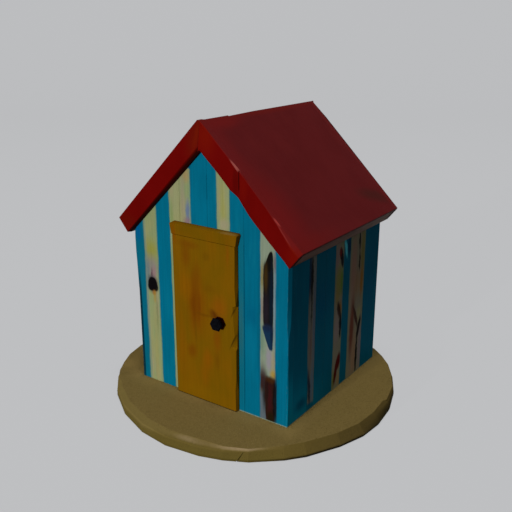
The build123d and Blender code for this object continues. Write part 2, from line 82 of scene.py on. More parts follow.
def treeOf(values):
    # the node tree that the linked values among these come from
    return next(value.id_data for value in values.values() if isinstance(value, bpy.types.NodeSocket))


def put(kind, values, tree=None, **settings):
    # a new node with its inputs and settings; the tree is given only where nothing is linked to it
    node = (tree or treeOf(values)).nodes.new(kind)
    for name, value in settings.items():
        setattr(node, name, value)
    return fill(node, values)


def calc(operation, *values):
    return put("ShaderNodeMath", dict(enumerate(values)), operation=operation).outputs[0]


def product(result, *others):
    for other in others:
        result = calc("MULTIPLY", result, other)
    return result


def weigh(first, second, share):
    # first * (1 - share) + second * share
    return calc("ADD", product(first, 1 - share), product(second, share))


def vectorCalc(operation, *values):
    return put("ShaderNodeVectorMath", dict(enumerate(values)), operation=operation).outputs[0]


def scaleVector(vector, amount):
    return put("ShaderNodeVectorMath", {0: vector, "Scale": amount}, operation="SCALE").outputs[0]


def partsOf(vector):
    return put("ShaderNodeSeparateXYZ", {0: vector}).outputs


def join(x, y, z=0.0):
    return put("ShaderNodeCombineXYZ", {0: x, 1: y, 2: z}).outputs[0]


def mixColour(share, under, over, way="MIX"):
    return put("ShaderNodeMix", {0: share, 6: under, 7: over}, data_type="RGBA", blend_type=way).outputs[2]


def spread(value, low, high, toLow=0.0, toHigh=1.0, way="SMOOTHSTEP"):
    # the value carried from low..high to toLow..toHigh, held at both ends; low may be the greater
    ends = {"Value": value, "From Min": low, "From Max": high, "To Min": toLow, "To Max": toHigh}
    return put("ShaderNodeMapRange", ends, interpolation_type=way).outputs["Result"]


def noise(position, scale, detail=2.0, roughness=0.5, stretch=None, reach=None):
    # scale is in waves to a millimetre; stretch draws it out along an axis; reach has it spread
    if stretch:
        position = vectorCalc("DIVIDE", position, stretch)
    values = {"Vector": position, "Scale": scale, "Detail": detail, "Roughness": roughness}
    waves = put("ShaderNodeTexNoise", values).outputs["Fac"]
    return spread(waves, *reach) if reach else waves


def makeGroup(name, inputs, outputs):
    # an empty group with named sockets; each is (name, kind) or (name, kind, default)
    group = bpy.data.node_groups.new(name, "ShaderNodeTree")
    for side, sockets in (("INPUT", inputs), ("OUTPUT", outputs)):
        for socketName, kind, *default in sockets:
            socket = group.interface.new_socket(socketName, in_out=side, socket_type="NodeSocket" + kind)
            if default:
                socket.default_value = default[0]
    return group, group.nodes.new("NodeGroupInput").outputs, group.nodes.new("NodeGroupOutput")


def useGroup(group, values):
    return put("ShaderNodeGroup", values, node_tree=group).outputs


def makeHutPosition():
    # where a point is, in millimetres from the hut's middle, front and foot
    group, _, out = makeGroup("hutPosition", [], [("Position", "Vector")])
    place = group.nodes.new("ShaderNodeTexCoord").outputs["Object"]
    moved = vectorCalc("SUBTRACT", place, hutOrigin)
    fill(out, {"Position": scaleVector(moved, 1 / mm)})
    return group


def makeSoftMark():
    # A soft-edged mark on a wall laid flat. u and v are the distances across and up from Centre over Reach, with
    # Lean sliding it sideways as it rises and Taper widening its top; where (u^s + v^s)^(1/s) is under 1, for s
    # Squareness, the mask is 1, and it falls to 0 over the Edge share of the reach. Shift stirs the outline.
    group, given, out = makeGroup(
        "softMark",
        [("Position", "Vector"), ("Shift", "Vector"), ("Wander", "Float", 1.0), ("Centre", "Vector", (0, 0, 0)),
         ("Reach", "Vector", (1, 1, 1)), ("Lean", "Float", 0.0), ("Taper", "Float", 0.0),
         ("Squareness", "Float", 2.0), ("Edge", "Float", 0.4)],
        [("Mask", "Float")],
    )
    stirred = vectorCalc("ADD", given["Position"], scaleVector(given["Shift"], given["Wander"]))
    away = partsOf(vectorCalc("SUBTRACT", stirred, given["Centre"]))
    reach = partsOf(given["Reach"])
    v = calc("DIVIDE", away[1], reach[1])
    straight = calc("SUBTRACT", away[0], product(away[1], given["Lean"]))
    widening = product(given["Taper"], spread(v, -1, 1, -1, 1, "LINEAR"))
    u = calc("DIVIDE", straight, product(reach[0], calc("ADD", 1.0, widening)))
    powers = [calc("POWER", calc("ABSOLUTE", part), given["Squareness"]) for part in (u, v)]
    distance = calc("POWER", calc("ADD", *powers), calc("DIVIDE", 1.0, given["Squareness"]))
    inner = calc("SUBTRACT", 1.0, given["Edge"])
    outer = calc("ADD", 1.0, given["Edge"])
    fill(out, {"Mask": spread(distance, outer, inner)})
    return group


brushLines = {
    "streaks": {"detail": 3.0, "roughness": 0.6, "stretch": (1, 28, 1)},
    "patches": {"detail": 3.0, "roughness": 0.55, "stretch": (1, 2.4, 1)},
    "grit": {"scale": 1.6, "roughness": 0.6},
    "gritShare": 0.25,
}


def makeBrushwork():
    # Brush strokes along V: fine streaks, broad cloudy patches, and a height of bristle lines over the board's grit.
    group, given, out = makeGroup(
        "brushwork",
        [("Position", "Vector"), ("Streak Width", "Float", 1.2), ("Patch Size", "Float", 14.0)],
        [("Streaks", "Float"), ("Patches", "Float"), ("Height", "Float")],
    )
    place = given["Position"]
    fine = noise(place, calc("DIVIDE", 1.0, given["Streak Width"]), **brushLines["streaks"])
    broad = noise(place, calc("DIVIDE", 1.0, given["Patch Size"]), **brushLines["patches"])
    height = weigh(fine, noise(place, **brushLines["grit"]), brushLines["gritShare"])
    fill(out, {"Streaks": fine, "Patches": broad, "Height": height})
    return group


arrisWear = {
    "turned": (0.995, 0.85),        # the normals' likeness where wear starts, and where it is full
    "broken": {"scale": 0.35, "detail": 4.0, "roughness": 0.7, "reach": (0.42, 0.62)},
}


def makeArris():
    # How near a point is to a sharp edge, from how far a rounded normal turns off the true one; and that rounded
    # normal, which lets a crisp edge catch the light as a rubbed-down one does.
    group, given, out = makeGroup(
        "arris",
        [("Radius", "Float", 0.0004), ("Position", "Vector")],
        [("Mask", "Float"), ("Normal", "Vector")],
    )
    rounded = put("ShaderNodeBevel", {"Radius": given["Radius"]}, samples=4).outputs["Normal"]
    true = group.nodes.new("ShaderNodeNewGeometry").outputs["Normal"]
    likeness = put("ShaderNodeVectorMath", {0: rounded, 1: true}, operation="DOT_PRODUCT").outputs["Value"]
    broken = noise(given["Position"], **arrisWear["broken"])
    mask = product(spread(likeness, *arrisWear["turned"]), broken)
    fill(out, {"Mask": mask, "Normal": rounded})
    return group


pineLook = {
    "early": (196, 162, 112),
    "late": (150, 104, 60),
    "rings": 1.6,       # radians of ring to a mm across
    "bend": {"scale": 0.05, "stretch": (1, 5, 1)},
    "bendReach": 26,
    "ringEdge": (-0.6, 1.0),
    "fibre": {"scale": 1.8, "detail": 3.0, "roughness": 0.6, "stretch": (1, 22, 1)},
    "fibreTone": (0.3, 0.7, 0.35, 1.0),
}


def makePineGrain():
    # Sawn pine: growth rings as bands drawn out along V, between two colours, with a fine fibre height. A ring is
    # sin(rings * across + bendReach * bend).
    group, given, out = makeGroup(
        "pineGrain",
        [("Position", "Vector"), ("Early", "Color", paint(*pineLook["early"])),
         ("Late", "Color", paint(*pineLook["late"]))],
        [("Color", "Color"), ("Height", "Float")],
    )
    across = product(partsOf(given["Position"])[0], pineLook["rings"])
    bend = product(noise(given["Position"], **pineLook["bend"]), pineLook["bendReach"])
    ring = spread(calc("SINE", calc("ADD", across, bend)), *pineLook["ringEdge"])
    fibre = noise(given["Position"], **pineLook["fibre"])
    tone = product(ring, spread(fibre, *pineLook["fibreTone"]))
    fill(out, {"Color": mixColour(tone, given["Early"], given["Late"]), "Height": fibre})
    return group


hutPosition = makeHutPosition()
softMark = makeSoftMark()
brushwork = makeBrushwork()
arris = makeArris()
pineGrain = makePineGrain()
print("shared effects made")


def newMaterial(name):
    # a material and its surface shader
    material = bpy.data.materials.new(name)
    material.use_nodes = True
    return material, material.node_tree.nodes["Principled BSDF"]


def startFinish(name):
    # a material and its surface shader, and where a point is on the hut, whole and in its three parts
    material, surface = newMaterial(name)
    position = put("ShaderNodeGroup", {}, material.node_tree, node_tree=hutPosition).outputs["Position"]
    return material, surface, position, partsOf(position)


def threeOf(kind, socket):
    # the three parts of "Object", where a point is in the shared frame, or of its "Normal", for this socket's tree
    return partsOf(socket.id_data.nodes.new("ShaderNodeTexCoord").outputs[kind])


def finishSurface(surface, look, position, colour, height, wear=None):
    # A look has the relief's full height and the radius its arrises are rubbed to, both in metres, its specular
    # gloss, and its roughness: one number, or the two that wear is spread between.
    relief = {"Height": height, "Distance": look["relief"], "Strength": 1.0}
    if "arris" in look:
        relief["Normal"] = useGroup(arris, {"Radius": look["arris"], "Position": position})["Normal"]
    roughness = look["roughness"]
    if wear:
        roughness = spread(wear, *look.get("wearReach", noiseRange), *roughness)
    fill(surface, {"Normal": put("ShaderNodeBump", relief).outputs[0], "Base Color": colour, "Roughness": roughness,
                   "Specular IOR Level": look.get("gloss", paintGloss)})


def mark(across, up, wide, tall, colour, edge, strength=1.0, wander=2.5, lean=0.0, taper=0.0, square=2.0):
    # where a mark is and how far it reaches to each side, in mm; its colour; the share of its reach that its edge
    # fades over; how much of it shows; how far its outline strays, in mm; and its shape, as softMark has it
    shape = {"Centre": (across, up, 0), "Reach": (wide, tall, 1), "Edge": edge, "Wander": wander, "Lean": lean,
             "Taper": taper, "Squareness": square}
    return shape, colour, strength


def addMarks(flat, colour, marks, ripple=0.22):
    # lays each mark over the colour, in order; one stirring noise serves them all
    stir = put("ShaderNodeTexNoise", {"Vector": flat, "Scale": ripple, "Detail": 4.0, "Roughness": 0.6})
    shift = vectorCalc("SUBTRACT", stir.outputs["Color"], (0.5, 0.5, 0.5))
    for shape, tone, strength in marks:
        mask = useGroup(softMark, {"Position": flat, "Shift": shift, **shape})["Mask"]
        if strength < 1:
            mask = product(mask, strength)
        colour = mixColour(mask, colour, tone)
    return colour


# Striped paint on the walls. Bands are the cream stripes: from the middle on the gables, from the front on the sides.
wallPaint = {
    "blue": (0, 101, 128),
    "deepBlue": (0, 96, 122),
    "paleBlue": (6, 106, 130),
    "bluePatches": (0.35, 0.7),     # where brush patches turn from deepBlue to blue
    "paleStrokes": {"scale": 0.2, "detail": 3.0, "stretch": (1, 9, 1), "reach": (0.52, 0.78, 0, 0.8)},
    "greenCream": (127, 141, 98),
    "cream": (141, 142, 96),
    "peachCream": (146, 139, 104),
    "creamPatches": (0.35, 0.65),
    "peachStrokes": {"scale": 0.16, "detail": 3.0, "stretch": (1, 7, 1), "reach": (0.48, 0.7)},
    "edgeCream": (118, 142, 108),
    "edgeReach": 4.5,       # how wide a stripe's greener edges are, in mm
    "edgeTone": (0.5, 1.0, 0.8, 0.0),
    "edge": 0.45,       # how far a stripe's edge fades, in mm
    "stray": 0.55,      # how far it wanders off a straight line
    "strayWaves": {"scale": 0.05, "detail": 4.0, "roughness": 0.6, "stretch": (2.5, 1, 1)},
    "streakShade": (0.9, 1.09),     # how dark and how light the brush streaks make it
    "footLine": (132, 144, 122),
    "footHeight": (0.9, 0.3),
    "footStreaks": (0.3, 0.6, 0.3, 0.9),
    "worn": (112, 122, 104),
    "wornFrom": (2, 1),     # mm from the corner
    "wornShare": 0.35,
    "arris": 0.0005,
    "relief": 0.00006,
    "roughness": (0.52, 0.7),
    "film": (-1.1, -0.9),       # how far in from the outer faces the paint ends
}
bands = {
    "front": [(-52.9, -41.2), (-29.8, -12.2), (8.1, 17.8), (39.9, 50.7)],
    "right": [(22.4, 31), (55.2, 66.2), (75.4, 96.6)],
    "left": [(17, 29.5), (49, 58), (78.5, 96)],
    "back": [(-51, -40), (-27, -16), (6, 21), (38, 50)],
}

# Where along each wall the pale line at its foot starts.
footLineFrom = {"front": 20, "right": -5, "left": 60, "back": -20}

# Marks in the cream: knots that bleed through it, and where it has gone thin. Then marks in the blue.
black = (9, 7, 9)
creamMarks = {
    "front": [
        mark(-47, 95, 4.6, 7, (135, 133, 55), 0.8, 0.85),
        mark(-47.5, 83, 5.4, 7.5, (122, 116, 112), 0.7, 0.85),
        mark(-51.3, 80, 2, 9, (98, 114, 116), 0.7, 0.8),
        mark(-45.4, 79.5, 1.8, 4, (136, 104, 108), 0.8, 0.7),
        mark(-47.4, 78.6, 0.7, 3.4, (86, 50, 66), 0.8, 0.8),
        mark(-47.2, 71.6, 5, 6, (62, 56, 66), 0.35, 0.8, wander=1.2),
        mark(-47, 71.3, 4.3, 5, black, 0.12, wander=0.9, taper=-0.24, square=2.6),
        mark(-45.9, 65.4, 1.5, 1.6, (140, 92, 40), 0.8, wander=0.8),
        mark(-45.6, 62.5, 1.1, 3.4, (148, 122, 52), 0.8, 0.7),
        mark(-44, 50, 0.8, 12, (108, 116, 74), 0.8, 0.6),
        mark(-46, 18, 1.6, 18, (143, 138, 84), 0.8, 0.6),
        mark(-12.6, 156.6, 2.8, 3.6, (0, 96, 122), 0.15, wander=0.6, square=3),
        mark(-52, 57, 0.9, 58, (108, 124, 116), 0.6, 0.6, square=5),
        mark(-27.6, 122, 1.4, 8, (118, 136, 84), 0.8, 0.7),
        mark(-24, 136, 3, 14, (144, 146, 106), 0.8, 0.7),
        mark(-18.4, 134, 1.8, 16, (143, 134, 110), 0.8, 0.7),
        mark(-14.6, 126, 1.7, 7, (86, 104, 142), 0.7, 0.8),
        mark(-15.2, 119.5, 2.6, 2.6, (126, 98, 108), 0.7, 0.8),
        mark(-15.4, 149, 2.4, 4.5, (152, 128, 86), 0.7, 0.8),
        mark(13.2, 131, 2.2, 12, (150, 144, 76), 0.8, 0.7),
        mark(15.6, 140, 1.6, 12, (144, 150, 110), 0.8, 0.6),
        mark(13.6, 122, 3.4, 3.6, (148, 140, 116), 0.7, 0.7),
        mark(45.3, 70, 7, 62, (124, 138, 120), 0.2, 0.85, square=6),
        mark(41.2, 95, 1.6, 8, (122, 110, 66), 0.7, 0.85),
        mark(41.2, 76, 1.5, 9, (128, 114, 104), 0.7, 0.85),
        mark(41.4, 54, 1.8, 8, (100, 124, 104), 0.7, 0.8),
        mark(50.2, 80, 1.2, 30, (102, 124, 134), 0.5, 0.85),
        mark(50, 105, 1.2, 5, (104, 88, 92), 0.7, 0.8),
        mark(46.4, 43, 2.2, 8, (136, 128, 138), 0.7, 0.8),
        mark(49.6, 42, 1.6, 7, (140, 132, 106), 0.7, 0.8),
        mark(49.4, 33, 2, 3, (152, 128, 62), 0.8, wander=1),
        mark(46.2, 56.6, 2.8, 7.6, (20, 45, 70), 0.1, wander=0.7, lean=-0.18, taper=0.5, square=5),
        mark(48.2, 60, 1, 8, (14, 32, 56), 0.6, 0.8, wander=0.8),
        mark(45.5, 83.5, 3.6, 20.5, (19, 18, 20), 0.1, wander=0.7, square=8),
        mark(46.3, 105.3, 2.4, 6.4, (16, 14, 10), 0.12, wander=0.7, lean=0.17, taper=-0.42, square=3),
        mark(43.7, 95, 1.3, 9, (56, 40, 14), 0.7, 0.9, wander=0.8),
        mark(44, 74, 1.7, 9, (34, 27, 34), 0.8, 0.8, wander=0.8),
        mark(47.8, 82, 1.2, 22, (12, 25, 38), 0.6, 0.9, wander=0.8),
        mark(45.5, 63, 3.2, 2.4, (20, 34, 60), 0.7, 0.8, wander=0.6),
        mark(42, 8, 3, 13, (84, 95, 102), 0.3, wander=0.8, square=4),
        mark(41.7, 30, 2.4, 8, (84, 82, 78), 0.7, 0.9, wander=0.8),
        mark(42, 26, 3, 7, (52, 34, 32), 0.6, wander=0.8, square=3),
        mark(43.4, 17, 1.6, 9, (36, 33, 32), 0.8, wander=0.8),
        mark(47.6, 14, 3.9, 16.6, (40, 20, 15), 0.1, wander=0.8, taper=0.13, square=6),
        mark(47, 15, 1.5, 10, (54, 17, 19), 0.7, 0.9),
        mark(50.4, 15, 1, 15, (13, 10, 10), 0.5, 0.9),
        mark(45, 20, 0.9, 9, (34, 18, 16), 0.6, 0.8),
        mark(47.4, 29, 3.2, 2, (60, 34, 14), 0.7, 0.9),
        mark(47.6, 3, 2.4, 4, (30, 22, 8), 0.6, 0.9),
    ],
    "right": [
        mark(26.5, 60, 5.4, 66, (119, 119, 118), 0.3, 0.85, square=6),
        mark(29.6, 62, 1.4, 30, (96, 112, 136), 0.7, 0.7),
        mark(28.6, 16, 1.6, 14, (92, 122, 146), 0.7, 0.8),
        mark(26, 0, 7, 5, (0, 104, 132), 0.3, square=4),
        mark(22.4, 15, 1.4, 18, (0, 100, 128), 0.4, square=3),
        mark(23.4, 94, 2, 16, (8, 50, 82), 0.5, 0.95),
        mark(26, 89, 1.5, 15, (14, 16, 18), 0.4, taper=0.2),
        mark(26.3, 70, 0.8, 12, (46, 52, 46), 0.6, 0.85),
        mark(26, 44, 1.3, 13, (118, 94, 86), 0.7, 0.7),
        mark(25.4, 16, 1.5, 12, (16, 40, 66), 0.5, 0.9, lean=-0.08),
        mark(60.5, 52, 5.5, 54, (138, 130, 122), 0.3, 0.7, square=6),
        mark(58, 96, 2.6, 10, (146, 122, 118), 0.8, 0.8),
        mark(61, 77, 4.6, 11, (134, 134, 70), 0.6, 0.9),
        mark(64.4, 77, 1.5, 8, (92, 140, 52), 0.8, 0.8),
        mark(59, 67, 2.6, 6, (142, 126, 76), 0.8, 0.7),
        mark(63.6, 93, 2.2, 7, (12, 9, 10), 0.25, lean=-0.22),
        mark(61.6, 97, 1.4, 3, (104, 30, 26), 0.6),
        mark(63.6, 58, 2, 4.4, (142, 94, 24), 0.7, 0.85),
        mark(62, 56.5, 2.2, 6.4, (48, 27, 10), 0.35, lean=-0.3),
        mark(64.4, 45, 1.7, 8.6, (12, 10, 10), 0.3),
        mark(59.4, 44, 3, 9, (150, 132, 132), 0.7, 0.7),
        mark(63.2, 19, 3.3, 6, (84, 14, 14), 0.35, lean=0.25),
        mark(60, 11.5, 2.1, 8.5, (80, 22, 14), 0.4, lean=0.22),
        mark(57, 7, 1.2, 7, (112, 126, 58), 0.7, 0.7),
        mark(64, 5, 2, 5, (158, 128, 84), 0.7, 0.7),
        mark(86, 52, 10.8, 60, (140, 128, 116), 0.3, 0.7, square=6),
        mark(81, 80, 4, 22, (156, 120, 102), 0.7, 0.85),
        mark(93.4, 90, 2.8, 16, (128, 120, 58), 0.7, 0.85),
        mark(87, 68, 4, 9, (156, 116, 78), 0.8, 0.6),
        mark(93.4, 68, 2, 10, (158, 106, 36), 0.7, 0.9),
        mark(85.4, 16, 3.4, 16, (160, 124, 96), 0.7, 0.8),
        mark(94.6, 18, 2.4, 18, (132, 122, 134), 0.7, 0.8),
        mark(91, 45, 2.4, 5, (154, 148, 100), 0.7, 0.7),
        mark(81.4, 38, 3, 21, (112, 60, 44), 0.6, 0.95, lean=0.04),
        mark(86.4, 44, 1.7, 9.5, (64, 34, 24), 0.4, 0.95, lean=-0.42),
        mark(91.8, 33.5, 1.9, 8.5, (20, 12, 8), 0.3, lean=0.26),
        mark(89.9, 13, 1.4, 15, (14, 11, 8), 0.35, lean=0.02),
        mark(88.3, 98, 1.2, 7, (16, 16, 12), 0.35, lean=-0.05),
        mark(89, 84, 1.1, 7, (32, 26, 14), 0.4),
    ],
    "left": [
        mark(23, 84, 5.5, 10, (132, 114, 118), 0.7, 0.8),
        mark(23.2, 66, 3.2, 4.8, black, 0.15, square=2.4),
        mark(22.4, 54, 1, 9, (112, 108, 56), 0.8, 0.75),
        mark(27, 24, 1.4, 18, (116, 126, 98), 0.8, 0.5),
        mark(53.5, 28, 2.2, 17, (66, 26, 20), 0.3, lean=0.03, square=3),
        mark(55, 30, 0.8, 14, black, 0.6, 0.8),
        mark(53, 70, 3, 12, (132, 124, 44), 0.7, 0.7),
        mark(86, 86, 2.4, 14, (20, 18, 18), 0.2, taper=0.2, square=4),
        mark(84.8, 88, 0.9, 9, (52, 36, 14), 0.7, 0.9),
        mark(88, 62, 3.2, 9, (132, 120, 134), 0.7, 0.7),
        mark(91, 34, 3.6, 15, (148, 120, 96), 0.7, 0.75),
        mark(82, 26, 1, 12, (112, 60, 46), 0.6, 0.8, lean=0.1),
    ],
    "back": [
        mark(-45, 54, 5.0, 10, (132, 114, 120), 0.7, 0.8),
        mark(-45.2, 38, 3.3, 5, black, 0.15, square=2.4),
        mark(-44, 29, 1.1, 4, (150, 118, 42), 0.7, 0.8),
        mark(-21, 104, 1.6, 16, (140, 122, 112), 0.8, 0.6),
        mark(-24, 60, 1.2, 14, (112, 128, 78), 0.8, 0.6),
        mark(13.4, 96, 3, 22, (22, 20, 18), 0.14, square=5),
        mark(12, 100, 1.2, 12, (52, 37, 14), 0.7, 0.9),
        mark(14.4, 66, 2, 8, (18, 46, 76), 0.3, lean=-0.2, taper=0.6),
        mark(14, 50, 4.0, 8, (132, 120, 134), 0.7, 0.7),
        mark(44, 16, 2.8, 16, (48, 22, 15), 0.2, square=4),
        mark(43, 18, 1.1, 9, (70, 18, 18), 0.7, 0.9),
        mark(44, 36, 4, 3, (146, 116, 70), 0.6, 0.8),
    ],
}
blueMarks = {
    "front": [
        mark(-57, 56, 4.2, 60, (6, 92, 112), 0.2, 0.7, square=8),
        mark(-57.6, 106, 2.2, 6, (0, 84, 138), 0.8, 0.8),
        mark(-58.6, 34, 1.1, 40, (4, 44, 56), 0.3, wander=0.2, square=5),
        mark(51.2, 15, 1, 16, (20, 24, 28), 0.5, wander=0.4, square=5),
        # painted light thrown up from the sand onto the foot of the right front corner
        mark(60.7, 12, 1.1, 24, (0, 130, 160), 0.3, wander=0.1),
        # these two are a painted shadow of the door's edge on the wall beside it
        mark(25.8, 62, 2.1, 57, (10, 95, 114), 0.3, 0.8, square=6),
        mark(25.8, 58, 1.6, 18, (34, 94, 104), 0.8, 0.8),
        mark(28.2, 59, 0.4, 60, (0, 74, 98), 0.5, 0.7, wander=0.4),
        mark(33.5, 68, 5, 7, (0, 87, 116), 0.8, 0.75),
        mark(38.6, 64, 0.7, 40, (2, 86, 108), 0.8, 0.7),
        mark(33, 48, 3.5, 12, (2, 103, 130), 0.8, 0.7),
    ],
    "right": [
        # painted light thrown up from the sand onto the foot of the wall near the front
        mark(10, 4, 24, 17, (0, 126, 158), 0.9),
        mark(16, 9, 6, 3.6, (0, 74, 104), 0.9, 0.8),
        mark(40, 70, 10, 12, (0, 92, 128), 0.9, 0.7),
        mark(69, 98, 1.7, 6, (92, 216, 232), 0.4, lean=-0.22),
        mark(73.4, 98.5, 2.6, 5.5, (4, 36, 66), 0.6, 0.85),
        mark(108, 62, 10, 26, (0, 90, 124), 0.9, 0.6),
        mark(116, 54, 1, 60, (0, 52, 72), 0.5, 0.8, square=5),
    ],
    "left": [],
    "back": [],
}


def stripeMask(flat, stripes, length, start, edge):
    # 1 on the cream bands: a ramp of steps along the wall, read at a place that wanders a little as it goes up
    most = wallPaint["stray"]
    stray = spread(noise(flat, **wallPaint["strayWaves"]), *noiseRange, -most, most, way="LINEAR")
    across = calc("ADD", partsOf(flat)[0], stray)
    ramp = put("ShaderNodeValToRGB", {0: spread(across, start, start + length, way="LINEAR")})
    stops = ramp.color_ramp.elements
    stops[0].color = stops[1].color = (0, 0, 0, 1)
    for low, high in stripes:
        for at, opens in ((low, True), (high, False)):
            for side in (-1, 1):
                level = 1.0 if (side > 0) == opens else 0.0
                stops.new((at + side * edge / 2 - start) / length).color = (level, level, level, 1)
    return ramp.outputs["Color"]


def paintedShell(split):
    # 1 within a paint film's reach of the hut's outer faces, and 0 on the bare wood inside
    wide = calc("SUBTRACT", calc("ABSOLUTE", split[0]), hutSize["halfWidth"])
    behind = calc("SUBTRACT", split[1], hutSize["depth"])
    outermost = calc("MAXIMUM", wide, calc("MAXIMUM", product(split[1], -1.0), behind))
    return spread(outermost, *wallPaint["film"])


def shadeStreaks(colour, streaks, low, high):
    # a colour made darker or lighter by its brush streaks
    shade = spread(streaks, *streakRange, low, high, way="LINEAR")
    grey = put("ShaderNodeCombineColor", {0: shade, 1: shade, 2: shade}).outputs[0]
    return mixColour(1.0, colour, grey, way="MULTIPLY")


def stripedPaint(wall, across):
    look = wallPaint
    material, surface, position, split = startFinish(wall + "Stripes")
    flat = join(split[across], split[2])
    half, depth = hutSize["halfWidth"], hutSize["depth"]
    start, length = (-half, half * 2) if across == 0 else (0.0, depth)
    brush = useGroup(brushwork, {"Position": flat})
    cream = mixColour(spread(brush["Patches"], *look["creamPatches"]), look["greenCream"], look["cream"])
    cream = mixColour(noise(flat, **look["peachStrokes"]), cream, look["peachCream"])
    inner = stripeMask(flat, bands[wall], length, start, look["edgeReach"])
    cream = mixColour(spread(inner, *look["edgeTone"]), cream, look["edgeCream"])
    cream = addMarks(flat, cream, creamMarks[wall])
    blue = mixColour(spread(brush["Patches"], *look["bluePatches"]), look["deepBlue"], look["blue"])
    blue = mixColour(noise(flat, **look["paleStrokes"]), blue, look["paleBlue"])
    blue = addMarks(flat, blue, blueMarks[wall])
    stripes = stripeMask(flat, bands[wall], length, start, look["edge"])
    colour = mixColour(stripes, blue, cream)
    colour = shadeStreaks(colour, brush["Streaks"], *look["streakShade"])
    footStart = footLineFrom[wall]
    foot = product(spread(split[2], *look["footHeight"]), spread(brush["Streaks"], *look["footStreaks"]),
                   spread(split[across], footStart, footStart + 2))
    colour = mixColour(foot, colour, look["footLine"])
    wornFrom = (half - inside for inside in look["wornFrom"])
    corner = spread(calc("ABSOLUTE", split[0]), *wornFrom, 0.0, look["wornShare"])
    edge = useGroup(arris, {"Radius": look["arris"], "Position": position})
    colour = mixColour(product(edge["Mask"], corner), colour, look["worn"])
    colour = mixColour(paintedShell(split), useGroup(pineGrain, {"Position": flat})["Color"], colour)
    finishSurface(surface, look, position, colour, brush["Height"], brush["Streaks"])
    return material


# Red paint on the roof and its bargeboards: vivid in front, greyer on the slopes, where the grey is a painted sheen.
# The undersides and the square-cut ends at the eaves are bare wood.
redStrokes = {
    "patches": {"scale": 0.04, "detail": 4.0, "roughness": 0.55, "reach": (0.35, 0.7)},
    "specks": {"scale": 0.9, "detail": 3.0, "roughness": 0.6},
    "brush": {"Streak Width": 1.8, "Patch Size": 24.0},
    "brightReach": (0.52, 0.75, 0.0, 0.7),
    "streakShade": (0.95, 1.05),
    "speckShare": 0.4,      # of the relief
    "arris": 0.0006,
    "relief": 0.0001,
    "roughness": (0.48, 0.62),
    "ripple": 0.08,     # how tight the outlines of the marks on the slopes waver
}
roofPaint = {
    # greyer reds than the bargeboards', carrying a painted sheen on the slopes
    "red": (98, 28, 29),
    "deepRed": (94, 26, 27),
    "brightRed": (102, 30, 30),
    "chamfer": (97, 21, 20),
    "verge": (50, 17, 18),      # the dark line along the back edge of the slopes
    "vergeWidth": 1.6,
    "vergeShare": 0.85,
    "bare": {"Early": (122, 96, 85), "Late": (92, 70, 60)},
    "bareBack": (136, 112, 100),
    "backFrom": 50,     # mm behind the front wall
    "backShare": 0.8,
    "drip": (60, 15, 11),       # red that has run over the top of the end grain
    "dripReach": (9.6, 10.6),   # from this far above the roof's underside, in mm
    "dripWaves": {"scale": 0.12, "detail": 3.0, "roughness": 0.6},
    "dripStray": 1.2,
}
bargePaint = {
    "red": (97, 4, 2),
    "deepRed": (92, 3, 1),
    "brightRed": (102, 8, 3),
    # painted shade: the bargeboards' undersides are near-black
    "under": (42, 6, 4),
    "mitreLean": 0.107,     # how far the mitre goes across for each mm up
    "mitreFoot": -19.2,     # and where it would cross the foot of the wall
    "front": (-0.2, -0.3),          # from where the normal's y gives 0 to where it gives 1
    "offFront": (-0.96, -0.86),
    "leaningUp": (0.15, 0.25),      # and the same for its z
    "anyUp": (0.1, 0.2),
    "slope": (0.64, 0.7),
    "down": (-0.15, -0.3),
    "underFrom": (-4.5, -3),        # mm behind the front wall's face
}
# Marks on the slopes: from the front wall along the ridge, and down the slope from it on the right or the left. The
# first few are near enough the front to reach the bargeboards.
roofMarks = [
    mark(0, 24, 7, 22, (108, 29, 30), 0.8, wander=5),
    mark(0, 72, 15, 28, (118, 27, 27), 0.9, 0.85, wander=6),
    mark(2, 94, 30, 5, (112, 26, 24), 0.9, 0.6, wander=5),
    mark(12, 3.5, 17, 4.5, (114, 28, 27), 0.8, wander=4),
    mark(62, 1, 60, 2.2, (110, 28, 24), 0.8, 0.7, wander=3),
    mark(107, 83, 9, 7.2, (79, 30, 27), 0.7, wander=4, lean=1.3),
    mark(60, -70, 16, 8, (80, 33, 30), 0.9, 0.7, wander=6),
    mark(4, -40, 12, 40, (112, 27, 27), 0.9, 0.7, wander=6),
]
nearFront = 5
# Marks on the bargeboards' faces, across and up from the hut's foot. The chip mark is a paler pink on the cut above
# the split, and it shows only on the slanting cuts.
bargeMarks = {
    "chips": [
        mark(24.6, 159.5, 3.6, 3.6, (136, 68, 62), 0.6, wander=1),
    ],
    "left": [
        mark(-3.6, 174, 5, 11, (94, 13, 3), 0.8, wander=1.5, lean=0.3),
        mark(-2.4, 174.5, 1.5, 8, (104, 20, 2), 0.9, 0.7, lean=0.3),
        mark(-63, 113, 7, 5, (90, 10, 2), 0.8, 0.8, wander=2),
    ],
    "right": [
        mark(4, 174, 6, 9, (106, 12, 2), 0.9, wander=1.5),
        # painted shade: the face left of the split is darker, where the board turns
        mark(25.6, 150.5, 2.1, 7.5, (80, 3, 1), 0.5, 0.8, wander=0.6),
        mark(27.9, 150.5, 0.4, 6.2, (58, 3, 2), 0.5, wander=0.1),
        mark(31, 148, 2.4, 7, (101, 7, 1), 0.8, 0.8, wander=0.6),
        mark(53.6, 131, 0.5, 2.0, (136, 48, 44), 0.5, wander=0.2, lean=-1),
        mark(58.6, 124.3, 0.45, 5.2, (122, 38, 34), 0.5, 0.8, wander=0.2, lean=-0.8),
        mark(64, 117.2, 0.7, 3.4, (112, 24, 14), 0.8, 0.7, wander=0.3, lean=-0.9),
        mark(66, 112, 5, 5, (104, 9, 1), 0.9, 0.7, wander=1.5),
    ],
}


